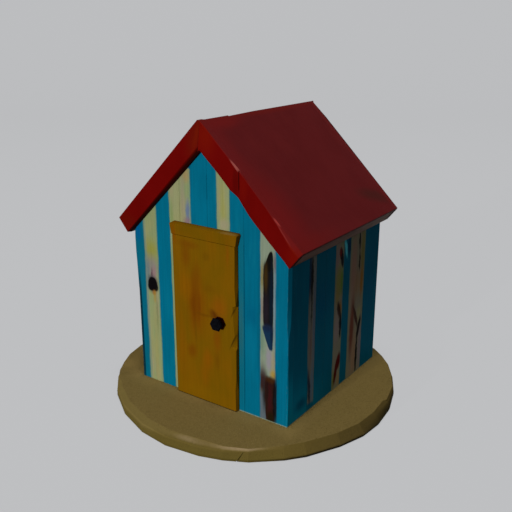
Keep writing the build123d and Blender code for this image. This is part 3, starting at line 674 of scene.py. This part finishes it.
def redCoat(position, split, tones):
    # two reds in broad patches, with brush strokes that run down the slope; its relief and a fine speck as well
    speck = noise(position, **redStrokes["specks"])
    down = calc("SUBTRACT", calc("ABSOLUTE", split[0]), split[2])
    brush = useGroup(brushwork, {"Position": join(split[1], down), **redStrokes["brush"]})
    colour = mixColour(noise(position, **redStrokes["patches"]), tones["red"], tones["deepRed"])
    bright = spread(brush["Patches"], *redStrokes["brightReach"])
    colour = mixColour(bright, colour, tones["brightRed"])
    colour = shadeStreaks(colour, brush["Streaks"], *redStrokes["streakShade"])
    return colour, weigh(brush["Streaks"], speck, redStrokes["speckShare"]), speck


def roofSlopes(split):
    # the roof laid flat, as (along the ridge, down the slope), with the left slope below nought
    return join(split[1], product(split[0], slopeLength))


def aboveUnderside(split):
    # how far a point lies above the roof's underside, square to it:
    # (z - wallHeight - slope * (halfWidth - |x|)) / slopeLength
    inside = calc("SUBTRACT", hutSize["halfWidth"], calc("ABSOLUTE", split[0]))
    rise = calc("SUBTRACT", calc("SUBTRACT", split[2], hutSize["wallHeight"]), product(inside, hutSize["slope"]))
    return product(rise, 1 / slopeLength)


def roofRed():
    look = roofPaint
    material, surface, position, split = startFinish("roofRed")
    colour, height, speck = redCoat(position, split, look)
    colour = addMarks(roofSlopes(split), colour, roofMarks, redStrokes["ripple"])
    pine = useGroup(pineGrain, {"Position": position, **look["bare"]})["Color"]
    pale = spread(split[1], look["backFrom"], hutSize["depth"], 0.0, look["backShare"])
    bare = mixColour(pale, pine, look["bareBack"])
    stray = calc("SUBTRACT", 0.5, noise(position, **look["dripWaves"]))
    drip = calc("ADD", aboveUnderside(split), product(stray, look["dripStray"]))
    bare = mixColour(spread(drip, *look["dripReach"]), bare, look["drip"])
    facingDown = calc("LESS_THAN", threeOf("Normal", position)[2], -0.5)
    colour = mixColour(facingDown, colour, bare)
    finishSurface(surface, redStrokes, position, colour, height, speck)
    return material


def bargeRed():
    look = bargePaint
    material, surface, position, split = startFinish("bargeRed")
    normal = threeOf("Normal", position)
    colour, height, speck = redCoat(position, split, look)
    flat = join(split[0], split[2])
    # the cuts on the arris face between the front and the slope
    inFront = spread(normal[1], *look["front"])
    slanting = product(spread(normal[1], *look["offFront"]), spread(normal[2], *look["leaningUp"]), inFront)
    colour = mixColour(slanting, colour, roofPaint["chamfer"])
    # the top edges take the slopes' greyer red, a painted sheen, and darken along the back
    slope = addMarks(roofSlopes(split), roofPaint["brightRed"], roofMarks[:nearFront], redStrokes["ripple"])
    colour = mixColour(spread(normal[2], *look["slope"]), colour, slope)
    verge = (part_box("bargeboard_back_right")[1].y - hutFront) / mm - roofPaint["vergeWidth"]
    dark = spread(calc("ADD", split[1], speck), verge, verge + 1, 0.0, roofPaint["vergeShare"])
    colour = mixColour(product(dark, spread(normal[2], *look["anyUp"])), colour, roofPaint["verge"])
    # left and right of the mitre, which leans
    mitre = calc("MULTIPLY_ADD", split[2], look["mitreLean"], look["mitreFoot"])
    right = calc("GREATER_THAN", split[0], mitre)
    marked = [addMarks(flat, colour, bargeMarks[side]) for side in ("left", "right")]
    colour = mixColour(inFront, colour, mixColour(right, *marked))
    colour = mixColour(slanting, colour, addMarks(flat, colour, bargeMarks["chips"]))
    # painted shade on the bargeboards' undersides, behind their front edge
    under = product(spread(normal[2], *look["down"]), spread(split[1], *look["underFrom"]))
    colour = mixColour(under, colour, look["under"])
    finishSurface(surface, redStrokes, position, colour, height, speck)
    return material


# Ochre paint on the door and its head, rubbed and smeared with red-brown.
doorPaint = {
    "ochre": (114, 76, 2),
    "olive": (106, 75, 2),
    "orange": (122, 72, 2),
    "headEnd": (176, 100, 14),      # the head's faces that look right are a brighter orange
    "headFoot": (110, 112),     # and starts this far up, in mm
    "facingRight": (0.4, 0.7),      # from where the normal's x gives 0 to where it gives 1
    "notInward": (0.6, 0.3),        # and the same for its y
    "patches": (0.35, 0.65),
    "orangeReach": (0.6, 0.85, 0.0, 0.4),
    "brush": {"Streak Width": 1.6, "Patch Size": 16.0},
    "streakShade": (0.93, 1.07),
    "ripple": 0.12,
    "arris": 0.0004,
    "relief": 0.00008,
    "roughness": (0.5, 0.66),
}
doorMarks = [
    mark(-20, 40, 3, 22, (120, 72, 2), 0.9, 0.5),
    mark(-14.6, 99, 3, 7, (106, 60, 2), 0.9, 0.75),
    mark(-13, 106, 7, 2, (106, 62, 2), 0.9, 0.7),
    mark(-6.5, 86, 3, 8, (108, 62, 2), 0.9, 0.7),
    mark(-7, 66, 6.5, 16, (114, 64, 2), 0.9, 0.85),
    mark(-9.2, 68, 2.4, 14, (98, 50, 1), 0.9, 0.75),
    mark(-5, 66, 1.1, 10, (100, 52, 2), 0.9, 0.7),
    mark(-8, 46, 0.7, 8, (96, 66, 2), 0.9, 0.6),
    mark(-0.5, 61.5, 7, 0.9, (96, 58, 2), 0.9, 0.6),
    mark(-16, 78, 5, 8, (124, 75, 1), 0.9, 0.7),
    mark(11, 69, 5.5, 6.5, (126, 71, 4), 0.9, 0.8),
    mark(7.6, 62.4, 3, 3.4, (90, 46, 3), 0.9, 0.9, lean=-0.5),
    mark(7, 64, 1, 2.4, (84, 44, 3), 0.8, 0.6, lean=-0.5),
    mark(9.2, 47, 2.4, 6.5, (116, 66, 3), 0.9, 0.8),
    mark(4, 80, 4, 2.5, (102, 66, 2), 0.9, 0.5),
    mark(1.4, 100.5, 2.2, 2.4, (98, 66, 2), 0.9, 0.6),
    mark(-11.6, 34, 3.4, 4.4, (106, 60, 2), 0.8, 0.8),
    mark(8.8, 32, 2, 5, (102, 64, 2), 0.9, 0.6),
    mark(1.4, 31, 3.2, 6, (124, 72, 2), 0.9, 0.7),
    mark(-1.5, 20, 3, 9, (122, 72, 2), 0.9, 0.6),
    mark(18, 105, 0.9, 6, (124, 70, 4), 0.9, 0.6),
    mark(-5, 6, 16, 4, (116, 80, 2), 0.9, 0.5),
    mark(-23.8, 112, 1.1, 6, (120, 66, 1), 0.9, 0.8),
    mark(-14, 115, 7, 2, (104, 74, 2), 0.9, 0.6),
    # a painted highlight along the head's top edge at the right
    mark(19, 118.2, 5.5, 0.35, (130, 100, 50), 0.8, 0.7, wander=0.5),
    mark(21.7, 68.4, 0.5, 3.4, (80, 54, 2), 0.7, wander=0.4, lean=0.4),
    mark(21.6, 49, 0.5, 4.4, (68, 46, 2), 0.7, wander=0.4, lean=0.45),
]


def ochrePaint():
    look = doorPaint
    material, surface, position, split = startFinish("doorOchre")
    normal = threeOf("Normal", position)
    flat = join(split[0], split[2])
    brush = useGroup(brushwork, {"Position": flat, **look["brush"]})
    colour = mixColour(spread(brush["Patches"], *look["patches"]), look["olive"], look["ochre"])
    colour = mixColour(spread(brush["Streaks"], *look["orangeReach"]), colour, look["orange"])
    headEnd = product(spread(normal[0], *look["facingRight"]), spread(split[2], *look["headFoot"]))
    colour = mixColour(headEnd, colour, look["headEnd"])
    marked = addMarks(flat, colour, doorMarks, look["ripple"])
    colour = mixColour(spread(normal[1], *look["notInward"]), colour, marked)
    colour = shadeStreaks(colour, brush["Streaks"], *look["streakShade"])
    finishSurface(surface, look, position, colour, brush["Height"], brush["Streaks"])
    return material


# Sand glued to the base: grains of several tones over broad patches, darker round the rim, which is partly painted
# shade, and painted lighter beside the walls and under the left eaves to take out their shade.
sand = {
    "light": (118, 100, 57),
    "mid": (109, 92, 50),
    "dark": (92, 77, 41),
    "flecks": {"scale": 0.5, "detail": 3.0, "roughness": 0.6, "reach": (0.45, 0.75, 0, 0.4)},
    "patches": {"scale": 0.06, "detail": 4.0, "roughness": 0.6, "reach": (0.5, 0.8, 0, 0.3)},
    "paintedLightByWalls": (130, 110, 64),    # painted light beside the walls, lifting the sand where they shade it
    "paintedLightByWallsReach": (0, 14, 0.9, 0),     # from this far off them, in mm, to this far, and its share at each
    "paintedLightUnderEaves": (156, 131, 76),          # and painted light under the left eaves, lifting the sand in their shadow
    "paintedLightAcross": ((-98, -76), (-60, -62)),      # where it fades in and out, from the hut's middle
    "paintedLightAlong": (-8, 12),           # and from its front
    "paintedLightBack": 5,
    "rimLean": (0.995, 0.965),      # the normal's z where the rim's marks start, and where they are full
    "rimRipple": 0.5,
    "grain": 0.55,                  # mm across
    "roundness": (0.8, 0.0),        # how a grain's relief falls off from its middle
    "heights": (0, 1, 0.4, 1.0),    # the lowest grain stands at 0.4 of the tallest
    "relief": 0.00011,
    "roughness": 0.92,
    "count": 4200,                  # loose grains modelled over the coat
    "size": (0.11, 0.23),           # their radius in mm
    "squash": (0.7, 1.2),
    "sunk": 0.42,                   # share of the radius below the surface
    "drift": 0.25,                  # share of them that have gathered along the foot of the walls
    "driftReach": 3.0,
    "clear": 0.1,                   # mm between the walls and the others
    "steepest": -0.2,               # the normal's z below which a face holds no grains
    "seed": 11,
}
# Marks round the rim: degrees round from the right-hand side, with the front at -90, and up from the underside.
rimMarks = [
    # The first five are painted shade, setting the rim's tone so that it darkens towards the right; the next three
    # are painted highlights along the upper arris; the last two darken the foot on the right.
    mark(-122, 4, 44, 5, (106, 91, 49), 0.4, wander=1, square=4),
    mark(-68, 3, 28, 3.8, (92, 78, 36), 0.15, wander=0.8, square=6),
    mark(-28, 3, 22, 9, (94, 79, 37), 0.4, wander=3, square=4),
    mark(-100, 1, 54, 3.6, (92, 79, 35), 0.5, 0.8, square=4),
    mark(3, 3, 32, 9, (84, 70, 36), 0.7, wander=5, square=3),
    mark(-80.5, 7.3, 4.6, 0.5, (126, 108, 73), 0.8, wander=0.4),
    mark(-70, 7.4, 7, 0.4, (112, 95, 57), 0.8, wander=0.4),
    mark(-60.5, 7.6, 6.5, 0.6, (134, 115, 83), 0.8, wander=0.3),
    mark(-10, 0, 36, 2.1, (38, 32, 18), 0.3, wander=1, square=6),
    mark(8, 1, 16, 3.6, (52, 45, 26), 0.6, wander=1.2),
]


def addRimMarks(colour):
    # the rim laid flat as (degrees round the base, mm up), marked only where the surface leans out
    place = threeOf("Object", colour)
    turn = product(calc("ARCTAN2", place[1], place[0]), math.degrees(1))
    flat = join(turn, calc("DIVIDE", place[2], mm))
    leaning = spread(threeOf("Normal", colour)[2], *sand["rimLean"])
    return mixColour(leaning, colour, addMarks(flat, colour, rimMarks, sand["rimRipple"]))


def outFromWalls(split):
    # how far out a point lies from the hut's walls
    halfDeep = hutSize["depth"] / 2
    across = calc("SUBTRACT", calc("ABSOLUTE", split[0]), hutSize["halfWidth"])
    along = calc("SUBTRACT", calc("ABSOLUTE", calc("SUBTRACT", split[1], halfDeep)), halfDeep)
    return calc("MAXIMUM", across, along)


def sandFinish():
    material, surface, position, split = startFinish("sandCoat")
    cells = put("ShaderNodeTexVoronoi", {"Vector": position, "Scale": 1 / sand["grain"]})
    tone = put("ShaderNodeSeparateColor", {0: cells.outputs["Color"]}).outputs[0]
    colour = mixColour(tone, sand["mid"], sand["light"])
    for waves in ("flecks", "patches"):
        colour = mixColour(noise(position, **sand[waves]), colour, sand["dark"])
    # painted light: the sand is lifted beside the walls, where their shade falls
    colour = mixColour(spread(outFromWalls(split), *sand["paintedLightByWallsReach"]), colour, sand["paintedLightByWalls"])
    back = hutSize["depth"]
    # painted light under the left eaves, taking out the shadow they cast on the sand
    paintedLightUnderEaves = product(*(spread(split[0], *ends) for ends in sand["paintedLightAcross"]), spread(split[1], *sand["paintedLightAlong"]),
                  spread(split[1], back, back - sand["paintedLightBack"]))
    colour = mixColour(paintedLightUnderEaves, colour, sand["paintedLightUnderEaves"])
    colour = addRimMarks(colour)
    ball = spread(cells.outputs["Distance"], *sand["roundness"])
    finishSurface(surface, sand, position, colour, product(ball, spread(tone, *sand["heights"])))
    return material


# Bare pine inside, and the small fittings. Each fitting is mottled in two tones of one colour.
barePineLook = {"arris": 0.0003, "relief": 0.00008, "roughness": 0.72, "gloss": 0.2}
fittingLook = {
    "mottle": {"scale": 0.5, "detail": 4.0, "roughness": 0.65},
    "mottleReach": (0.35, 0.65),
    "wearReach": (0.3, 0.7),
    "arris": 0.0003,
    "relief": 0.00005,
    "gloss": 0.02,
    "metal": 0.0,
}
fittings = {
    "knobBlack": {"light": (7, 8, 14), "dark": (3, 3, 6), "roughness": (0.52, 0.7)},
    "roseRust": {"light": (58, 10, 8), "dark": (30, 5, 6), "roughness": (0.72, 0.9)},
    "pinBrass": {"light": (190, 150, 80), "dark": (150, 112, 56), "roughness": (0.27, 0.45), "metal": 1.0,
                 "gloss": 0.5},
}


def barePine(name, along):
    # sawn pine with its grain along one axis of the frame
    material, surface, position, split = startFinish(name)
    first, second = (axis for axis in range(3) if axis != along)
    laid = join(calc("ADD", split[first], split[second]), split[along], split[second])
    pine = useGroup(pineGrain, {"Position": laid})
    finishSurface(surface, barePineLook, position, pine["Color"], pine["Height"])
    return material


def fittingFinish(name):
    look = {**fittingLook, **fittings[name]}
    material, surface, position, _ = startFinish(name)
    mottle = noise(position, **look["mottle"])
    colour = mixColour(spread(mottle, *look["mottleReach"]), look["light"], look["dark"])
    fill(surface, {"Metallic": look["metal"]})
    finishSurface(surface, look, position, colour, mottle, mottle)
    return material


def dress(material, *starts):
    # gives a finish to every node whose name starts with one of these
    for name, node in nodes.items():
        if name.startswith(starts):
            node.data.materials.clear()
            node.data.materials.append(material)


sandCoat = sandFinish()
bargeCoat = bargeRed()
frontCoat = stripedPaint("front", 0)
dress(frontCoat, "front_wall")
dress(stripedPaint("right", 1), "right_wall")
dress(stripedPaint("left", 1), "left_wall")
dress(stripedPaint("back", 0), "back_wall")
dress(roofRed(), "roof_panel")
dress(bargeCoat, "bargeboard")
dress(ochrePaint(), "door_leaf", "door_head")
dress(sandCoat, "base_disc")
dress(barePine("pineUpright", 2), "corner_batten")
dress(barePine("pineLengthways", 1), "eaves_batten", "ridge_batten", "floor_board")
dress(barePine("pineAcross", 0), "door_threshold", "doorway_header")
dress(fittingFinish("knobBlack"), "door_knob")
dress(fittingFinish("roseRust"), "knob_rose")
dress(fittingFinish("pinBrass"), "hinge_pin")
print("finishes made")


def meshFrom(name, points, faces, material, smooth=True):
    # a piece from an array of points and lists of their numbers round each face, with its place in its mesh
    mesh = bpy.data.meshes.new(name)
    mesh.from_pydata(points.tolist(), [], faces)
    mesh.polygons.foreach_set("use_smooth", np.full(len(faces), smooth))
    mesh.materials.append(material)
    piece = bpy.data.objects.new(name, mesh)
    bpy.context.scene.collection.objects.link(piece)
    return piece


def surfacePoints(node, count, rng):
    # points spread evenly over a node's faces that don't look down, with each face's normal: a face is drawn by its
    # area, then a point a + s(b - a) + t(c - a) in it, with s and t folded back into the triangle
    mesh = node.data
    mesh.calc_loop_triangles()
    corners = np.empty(len(mesh.loop_triangles) * 3, int)
    mesh.loop_triangles.foreach_get("vertices", corners)
    places = np.empty(len(mesh.vertices) * 3)
    mesh.vertices.foreach_get("co", places)
    a, b, c = places.reshape(-1, 3)[corners.reshape(-1, 3)].transpose(1, 0, 2)
    cross = np.cross(b - a, c - a)
    area = np.linalg.norm(cross, axis=1)
    normal = cross / area[:, None]
    area[normal[:, 2] < sand["steepest"]] = 0
    chosen = rng.choice(len(area), count, p=area / area.sum())
    s, t = rng.random((2, count))
    folded = s + t > 1
    s, t = np.where(folded, 1 - s, s), np.where(folded, 1 - t, t)
    a, b, c = a[chosen], b[chosen], c[chosen]
    return a + s[:, None] * (b - a) + t[:, None] * (c - a), normal[chosen]


def icosahedron():
    # Twelve corners at (-1 or 1, -golden or golden, 0) and its two turns, brought to a radius of 1. The faces are
    # every three corners that are one edge apart, turned so that they go anticlockwise seen from outside.
    golden = (1 + 5 ** 0.5) / 2
    ring = np.array([(-1, golden, 0), (1, golden, 0), (-1, -golden, 0), (1, -golden, 0)])
    ball = np.concatenate([np.roll(ring, turn, axis=1) for turn in range(3)]) / math.hypot(1, golden)
    corners = np.array(list(itertools.combinations(range(len(ball)), 3)))
    edges = np.linalg.norm(ball[corners] - ball[np.roll(corners, 1, axis=1)], axis=2)
    faces = corners[np.all(edges < 1.01 * edges.min(), axis=1)]
    inward = np.linalg.det(ball[faces]) < 0
    faces[inward] = faces[inward][:, ::-1]
    return ball, faces


def addSandGrains():
    # Loose grains: one icosahedron, turned, squashed and scaled for each grain as whole arrays, and sunk a little
    # along the surface's normal. Some lie in a drift round the walls, thinning out as the square of a random share.
    rng = np.random.default_rng(sand["seed"])
    count = sand["count"]
    place, normal = surfacePoints(nodes["base_disc"], count * 2, rng)
    half = np.array([hutSize["halfWidth"], hutSize["depth"] / 2]) * mm
    middle = np.array([hutMiddle, (hutFront + hutBack) / 2])
    outside = np.any(np.abs(place[:, :2] - middle) > half + sand["clear"] * mm, axis=1)
    place, normal = place[outside][:count], normal[outside][:count]
    drifted = int(sand["drift"] * len(place))
    onLongSide = rng.random(drifted) < 0.5
    side = rng.choice([-1, 1], drifted)
    along = rng.uniform(-1, 1, drifted)
    away = sand["driftReach"] * mm * rng.random(drifted) ** 2
    x = np.where(onLongSide, side * (half[0] + away), along * (half[0] + away))
    y = np.where(onLongSide, along * (half[1] + away), side * (half[1] + away))
    place[:drifted] = np.stack([middle[0] + x, middle[1] + y, np.full(drifted, baseTop)], axis=1)
    normal[:drifted] = (0, 0, 1)
    number = len(place)
    turn, _ = np.linalg.qr(rng.normal(size=(number, 3, 3)))
    squash = rng.uniform(*sand["squash"], (number, 1, 3))
    radius = rng.uniform(*sand["size"], (number, 1, 1)) * mm
    ball, faces = icosahedron()
    grains = (ball[None] * squash) @ turn * radius
    centre = place + normal * radius[:, 0] * (1 - sand["sunk"] * 2)
    points = (grains + centre[:, None]).reshape(-1, 3)
    # a turn with a negative determinant is a reflection, so those grains' faces are reversed
    mirrored = np.linalg.det(turn) < 0
    allFaces = faces[None] + (np.arange(number) * len(ball))[:, None, None]
    allFaces[mirrored] = allFaces[mirrored][:, :, ::-1]
    piece = meshFrom("sand_grains", points, allFaces.reshape(-1, 3).tolist(), sandCoat)
    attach(piece, "hut")


addSandGrains()
print("sand grains laid")


def addLoft(name, rings, material):
    # a closed piece on the hut from an array of rings of points, with flat faces from each ring to the next and the
    # first and last ring filled
    number = np.arange(rings.shape[0] * rings.shape[1]).reshape(rings.shape[:2])
    onward = np.roll(number, -1, axis=1)
    walls = np.stack([number[:-1], onward[:-1], onward[1:], number[1:]], axis=-1).reshape(-1, 4)
    faces = walls.tolist() + [number[0, ::-1].tolist(), number[-1].tolist()]
    piece = meshFrom(name, rings.reshape(-1, 3), faces, material, smooth=False)
    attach(piece, "hut")


# Thick paint that has gathered along two edges: the lower edge of the right front bargeboard, and the hut's front
# left corner. Places are across and up from the hut's foot, in mm.
paintRuns = {
    "buried": 0.8,      # how far a run reaches inside the wood
    "back": 0.03,       # how far it lies behind the front face
    "thick": 2.2,
    "round": 0.35,
    "stations": 48,
    "edge": [(0, 166.55), (28, 141.45), (62.6, 105.5)],     # the board's lower edge: across, up
    "drops": [(-0.6, 0.9), (2, 1.3), (14, 1.45), (18, 1.9), (21.5, 2.4), (24, 1.5), (27.5, 0.8), (30, 1.5), (34, 2.5),
              (38, 2.6), (43, 2.1), (48, 1.8), (53, 1.2), (58, 0.5), (61, 0.1)],    # across, paint below that edge
    "corner": -59.6,        # where the front face ends on the left
    "swells": [(62, 0.0), (67, 0.45), (75.5, 0.75), (84, 1.0), (92.5, 1.4), (101, 1.5), (105, 1.4),
               (107.5, 1.2)],       # up, paint out from that corner
}


def addPaintRun(name, body, inside, outside, material):
    # a six-sided section carried along an edge. Each station is a pair of points (across, up), one inside the wood
    # and one at the paint's outer side; the section goes straight from one to the other, back into the wood by
    # "thick", and the two outer corners are cut off by "round"
    back, cut, thick = paintRuns["back"], paintRuns["round"], paintRuns["thick"]
    reach = np.linalg.norm(outside - inside, axis=1, keepdims=True)
    shoulder = outside + (inside - outside) / reach * np.minimum(cut, reach / 2)
    section = np.stack([inside, shoulder, outside, outside, shoulder, inside], axis=1)
    depth = np.broadcast_to([back, back, back + cut, thick - cut, thick, thick], section.shape[:2])
    rings = np.stack([section[..., 0], depth, section[..., 1]], axis=2) * mm
    addLoft(name, rings + (hutMiddle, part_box(body)[0].y, baseTop), material)


def betweenEnds(ends):
    return np.linspace(*ends, paintRuns["stations"])


def addBoardRun():
    # foot at place x: edge(x) - drop(x), both drawn by straight lines between the given points
    drops, buried = paintRuns["drops"], paintRuns["buried"]
    across = betweenEnds((drops[0][0], drops[-1][0]))
    edge = np.interp(across, *zip(*paintRuns["edge"]))
    foot = edge - np.interp(across, *zip(*drops))
    addPaintRun("bargeboard_paint_run", "bargeboard_front_right", np.stack([across, edge + buried], axis=1),
                np.stack([across, foot], axis=1), bargeCoat)


def addCornerRun():
    # outer side at height z: corner - swell(z), drawn by straight lines between the given points. The stations run
    # downwards, which turns the faces outwards
    swells, corner = paintRuns["swells"], paintRuns["corner"]
    up = betweenEnds((swells[-1][0], swells[0][0]))
    outer = corner - np.interp(up, *zip(*swells))
    inner = np.full(len(up), corner + paintRuns["buried"])
    addPaintRun("corner_paint_run", "front_wall_left", np.stack([inner, up], axis=1), np.stack([outer, up], axis=1),
                frontCoat)


addBoardRun()
addCornerRun()
print("paint runs added")


# The sanded coat stands thicker over the base's upper arris in two places. Each outline is (degrees round the base,
# mm from its middle).
rimCoats = {
    "outlines": {
        "rim_coat_right": [(7, 92), (11, 95.5), (22, 96.5), (33, 96.5), (42, 97.5), (50, 98), (57, 98.5), (67, 97),
                           (75, 93)],
        "rim_coat_left": [(-193, 94), (-182, 98), (-171, 99), (-162, 99), (-155, 98), (-147, 97.5), (-140, 96.5),
                          (-134, 94)],
    },
    "inside": 7.0,      # how far it reaches into the wood, in mm
    "sunk": 0.04,       # how far its top lies below the base's
    "round": 0.5,
    "tucked": 1.2,      # how much nearer the middle the foot is than the top
    "foot": 7.0,
}


def addRimCoat(name, outline):
    # section at each given direction: radius - inside, radius - round and radius along the top, radius - tucked and
    # radius - inside at the foot, joined by flats from one direction to the next
    inside, cut, foot = rimCoats["inside"], rimCoats["round"], rimCoats["foot"]
    turn, radius = np.array(outline).T[:, :, None]
    reach = radius - np.array([inside, cut, 0, rimCoats["tucked"], inside])
    down = np.broadcast_to(np.array([0, 0, cut, foot, foot]) + rimCoats["sunk"], reach.shape)
    angle = np.radians(turn)
    rings = np.stack([reach * np.cos(angle), reach * np.sin(angle), -down], axis=2) * mm
    addLoft(name, rings + (0, 0, baseTop), sandCoat)


for name, outline in rimCoats["outlines"].items():
    addRimCoat(name, outline)
print("rim coats added")


studio = {
    "grey": (190, 191, 193),
    "glow": 1.035,      # the backdrop's own light
    "paper": (85, 85, 87),      # how the floor lights the object from below
    "shadowShare": 0.12,        # how much of the floor's own shading shows to the camera
    "sweepRadius": 1.2,
    "sweepSteps": 24,
    "reach": 3.0,
    "ambient": 0.14,
}
lens = {"azimuth": 34.92, "elevation": 18.42, "distance": 0.475, "fieldOfView": 40.0,
        "aim": (2.1, 49.6, 86.85)}     # the point looked at, in mm from the hut's middle, front and foot
lamps = {       # a small one straight in front and a broad one overhead
    "key": {"azimuth": -3.5, "elevation": 3.5, "distance": 3.0, "size": 0.1, "power": 73.0},
    "sky": {"azimuth": 49.5, "elevation": 80.8, "distance": 3.0, "size": 0.84, "power": 54.0},
}


def seenDirectly(tree):
    # 1 for the camera, for mirrors and through glass
    path = tree.nodes.new("ShaderNodeLightPath").outputs
    glossy = calc("MAXIMUM", path["Is Glossy Ray"], path["Is Transmission Ray"])
    return calc("MAXIMUM", path["Is Camera Ray"], glossy)


def addSweep():
    # A floor that turns up into a backdrop: flat, then a quarter circle, then upright, turned to face the camera.
    radius, reach = studio["sweepRadius"], studio["reach"]
    turn = np.linspace(0, math.pi / 2, studio["sweepSteps"])
    run = np.concatenate([[-reach], reach / 2 + radius * np.sin(turn), [reach / 2 + radius]])
    rise = np.concatenate([[0], radius * (1 - np.cos(turn)), [reach]])
    side = np.linspace(-2 * reach, 2 * reach, 3)
    angle = math.radians(lens["azimuth"])
    along = np.array([-math.sin(angle), math.cos(angle), 0])
    across = np.array([math.cos(angle), math.sin(angle), 0])
    points = side[:, None, None] * across + run[None, :, None] * along + rise[None, :, None] * np.array([0, 0, 1])
    rows, columns = points.shape[:2]
    corner = np.arange(rows * columns).reshape(rows, columns)
    faces = np.stack([corner[:-1, :-1], corner[1:, :-1], corner[1:, 1:], corner[:-1, 1:]], axis=-1).reshape(-1, 4)
    material, surface = newMaterial("sweepPaper")
    tree = material.node_tree
    fill(surface, {"Base Color": studio["paper"], "Roughness": 1.0, "Specular IOR Level": 0.0})
    shaded = put("ShaderNodeBsdfDiffuse", {"Color": studio["grey"]}, tree).outputs[0]
    flat = put("ShaderNodeEmission", {"Color": studio["grey"], "Strength": studio["glow"]}, tree).outputs[0]
    pale = put("ShaderNodeMixShader", {0: studio["shadowShare"], 1: flat, 2: shaded}).outputs[0]
    mixed = put("ShaderNodeMixShader", {0: seenDirectly(tree), 1: surface.outputs[0], 2: pale}).outputs[0]
    tree.links.new(mixed, tree.nodes["Material Output"].inputs["Surface"])
    meshFrom("sweep", points.reshape(-1, 3), faces.tolist(), material)


def place(thing, aim, setting):
    # stands a lamp or camera off from the aim, at its azimuth and elevation, looking at it
    a, e = math.radians(setting["azimuth"]), math.radians(setting["elevation"])
    direction = Vector((math.sin(a) * math.cos(e), -math.cos(a) * math.cos(e), math.sin(e)))
    thing.location = aim + direction * setting["distance"]
    thing.rotation_euler = direction.to_track_quat("Z", "Y").to_euler()
    bpy.context.scene.collection.objects.link(thing)


def addCamera(aim):
    data = bpy.data.cameras.new("camera")
    data.angle = math.radians(lens["fieldOfView"])
    data.clip_start = 0.01
    camera = bpy.data.objects.new("camera", data)
    place(camera, aim, lens)
    bpy.context.scene.camera = camera


def addLamps(aim):
    for name, lamp in lamps.items():
        data = bpy.data.lights.new(name, "AREA")
        data.shape = "DISK"
        data.size = lamp["size"]
        data.energy = lamp["power"]
        thing = bpy.data.objects.new(name, data)
        thing.visible_camera = False
        place(thing, aim, lamp)


def addWorld():
    # a dim even light, seen as the pale backdrop by the camera, by mirrors and through glass
    world = bpy.data.worlds.new("studio")
    world.use_nodes = True
    tree = world.node_tree
    ambient = fill(tree.nodes["Background"], {"Color": (1, 1, 1, 1), "Strength": studio["ambient"]})
    pale = put("ShaderNodeBackground", {"Color": studio["grey"]}, tree).outputs[0]
    mixed = put("ShaderNodeMixShader", {0: seenDirectly(tree), 1: ambient.outputs[0], 2: pale}).outputs[0]
    tree.links.new(mixed, tree.nodes["World Output"].inputs["Surface"])
    bpy.context.scene.world = world


aim = Vector(hutOrigin) + Vector(lens["aim"]) * mm
addCamera(aim)
addLamps(aim)
addWorld()
addSweep()
bpy.context.scene.view_settings.view_transform = "Standard"
print("studio made")
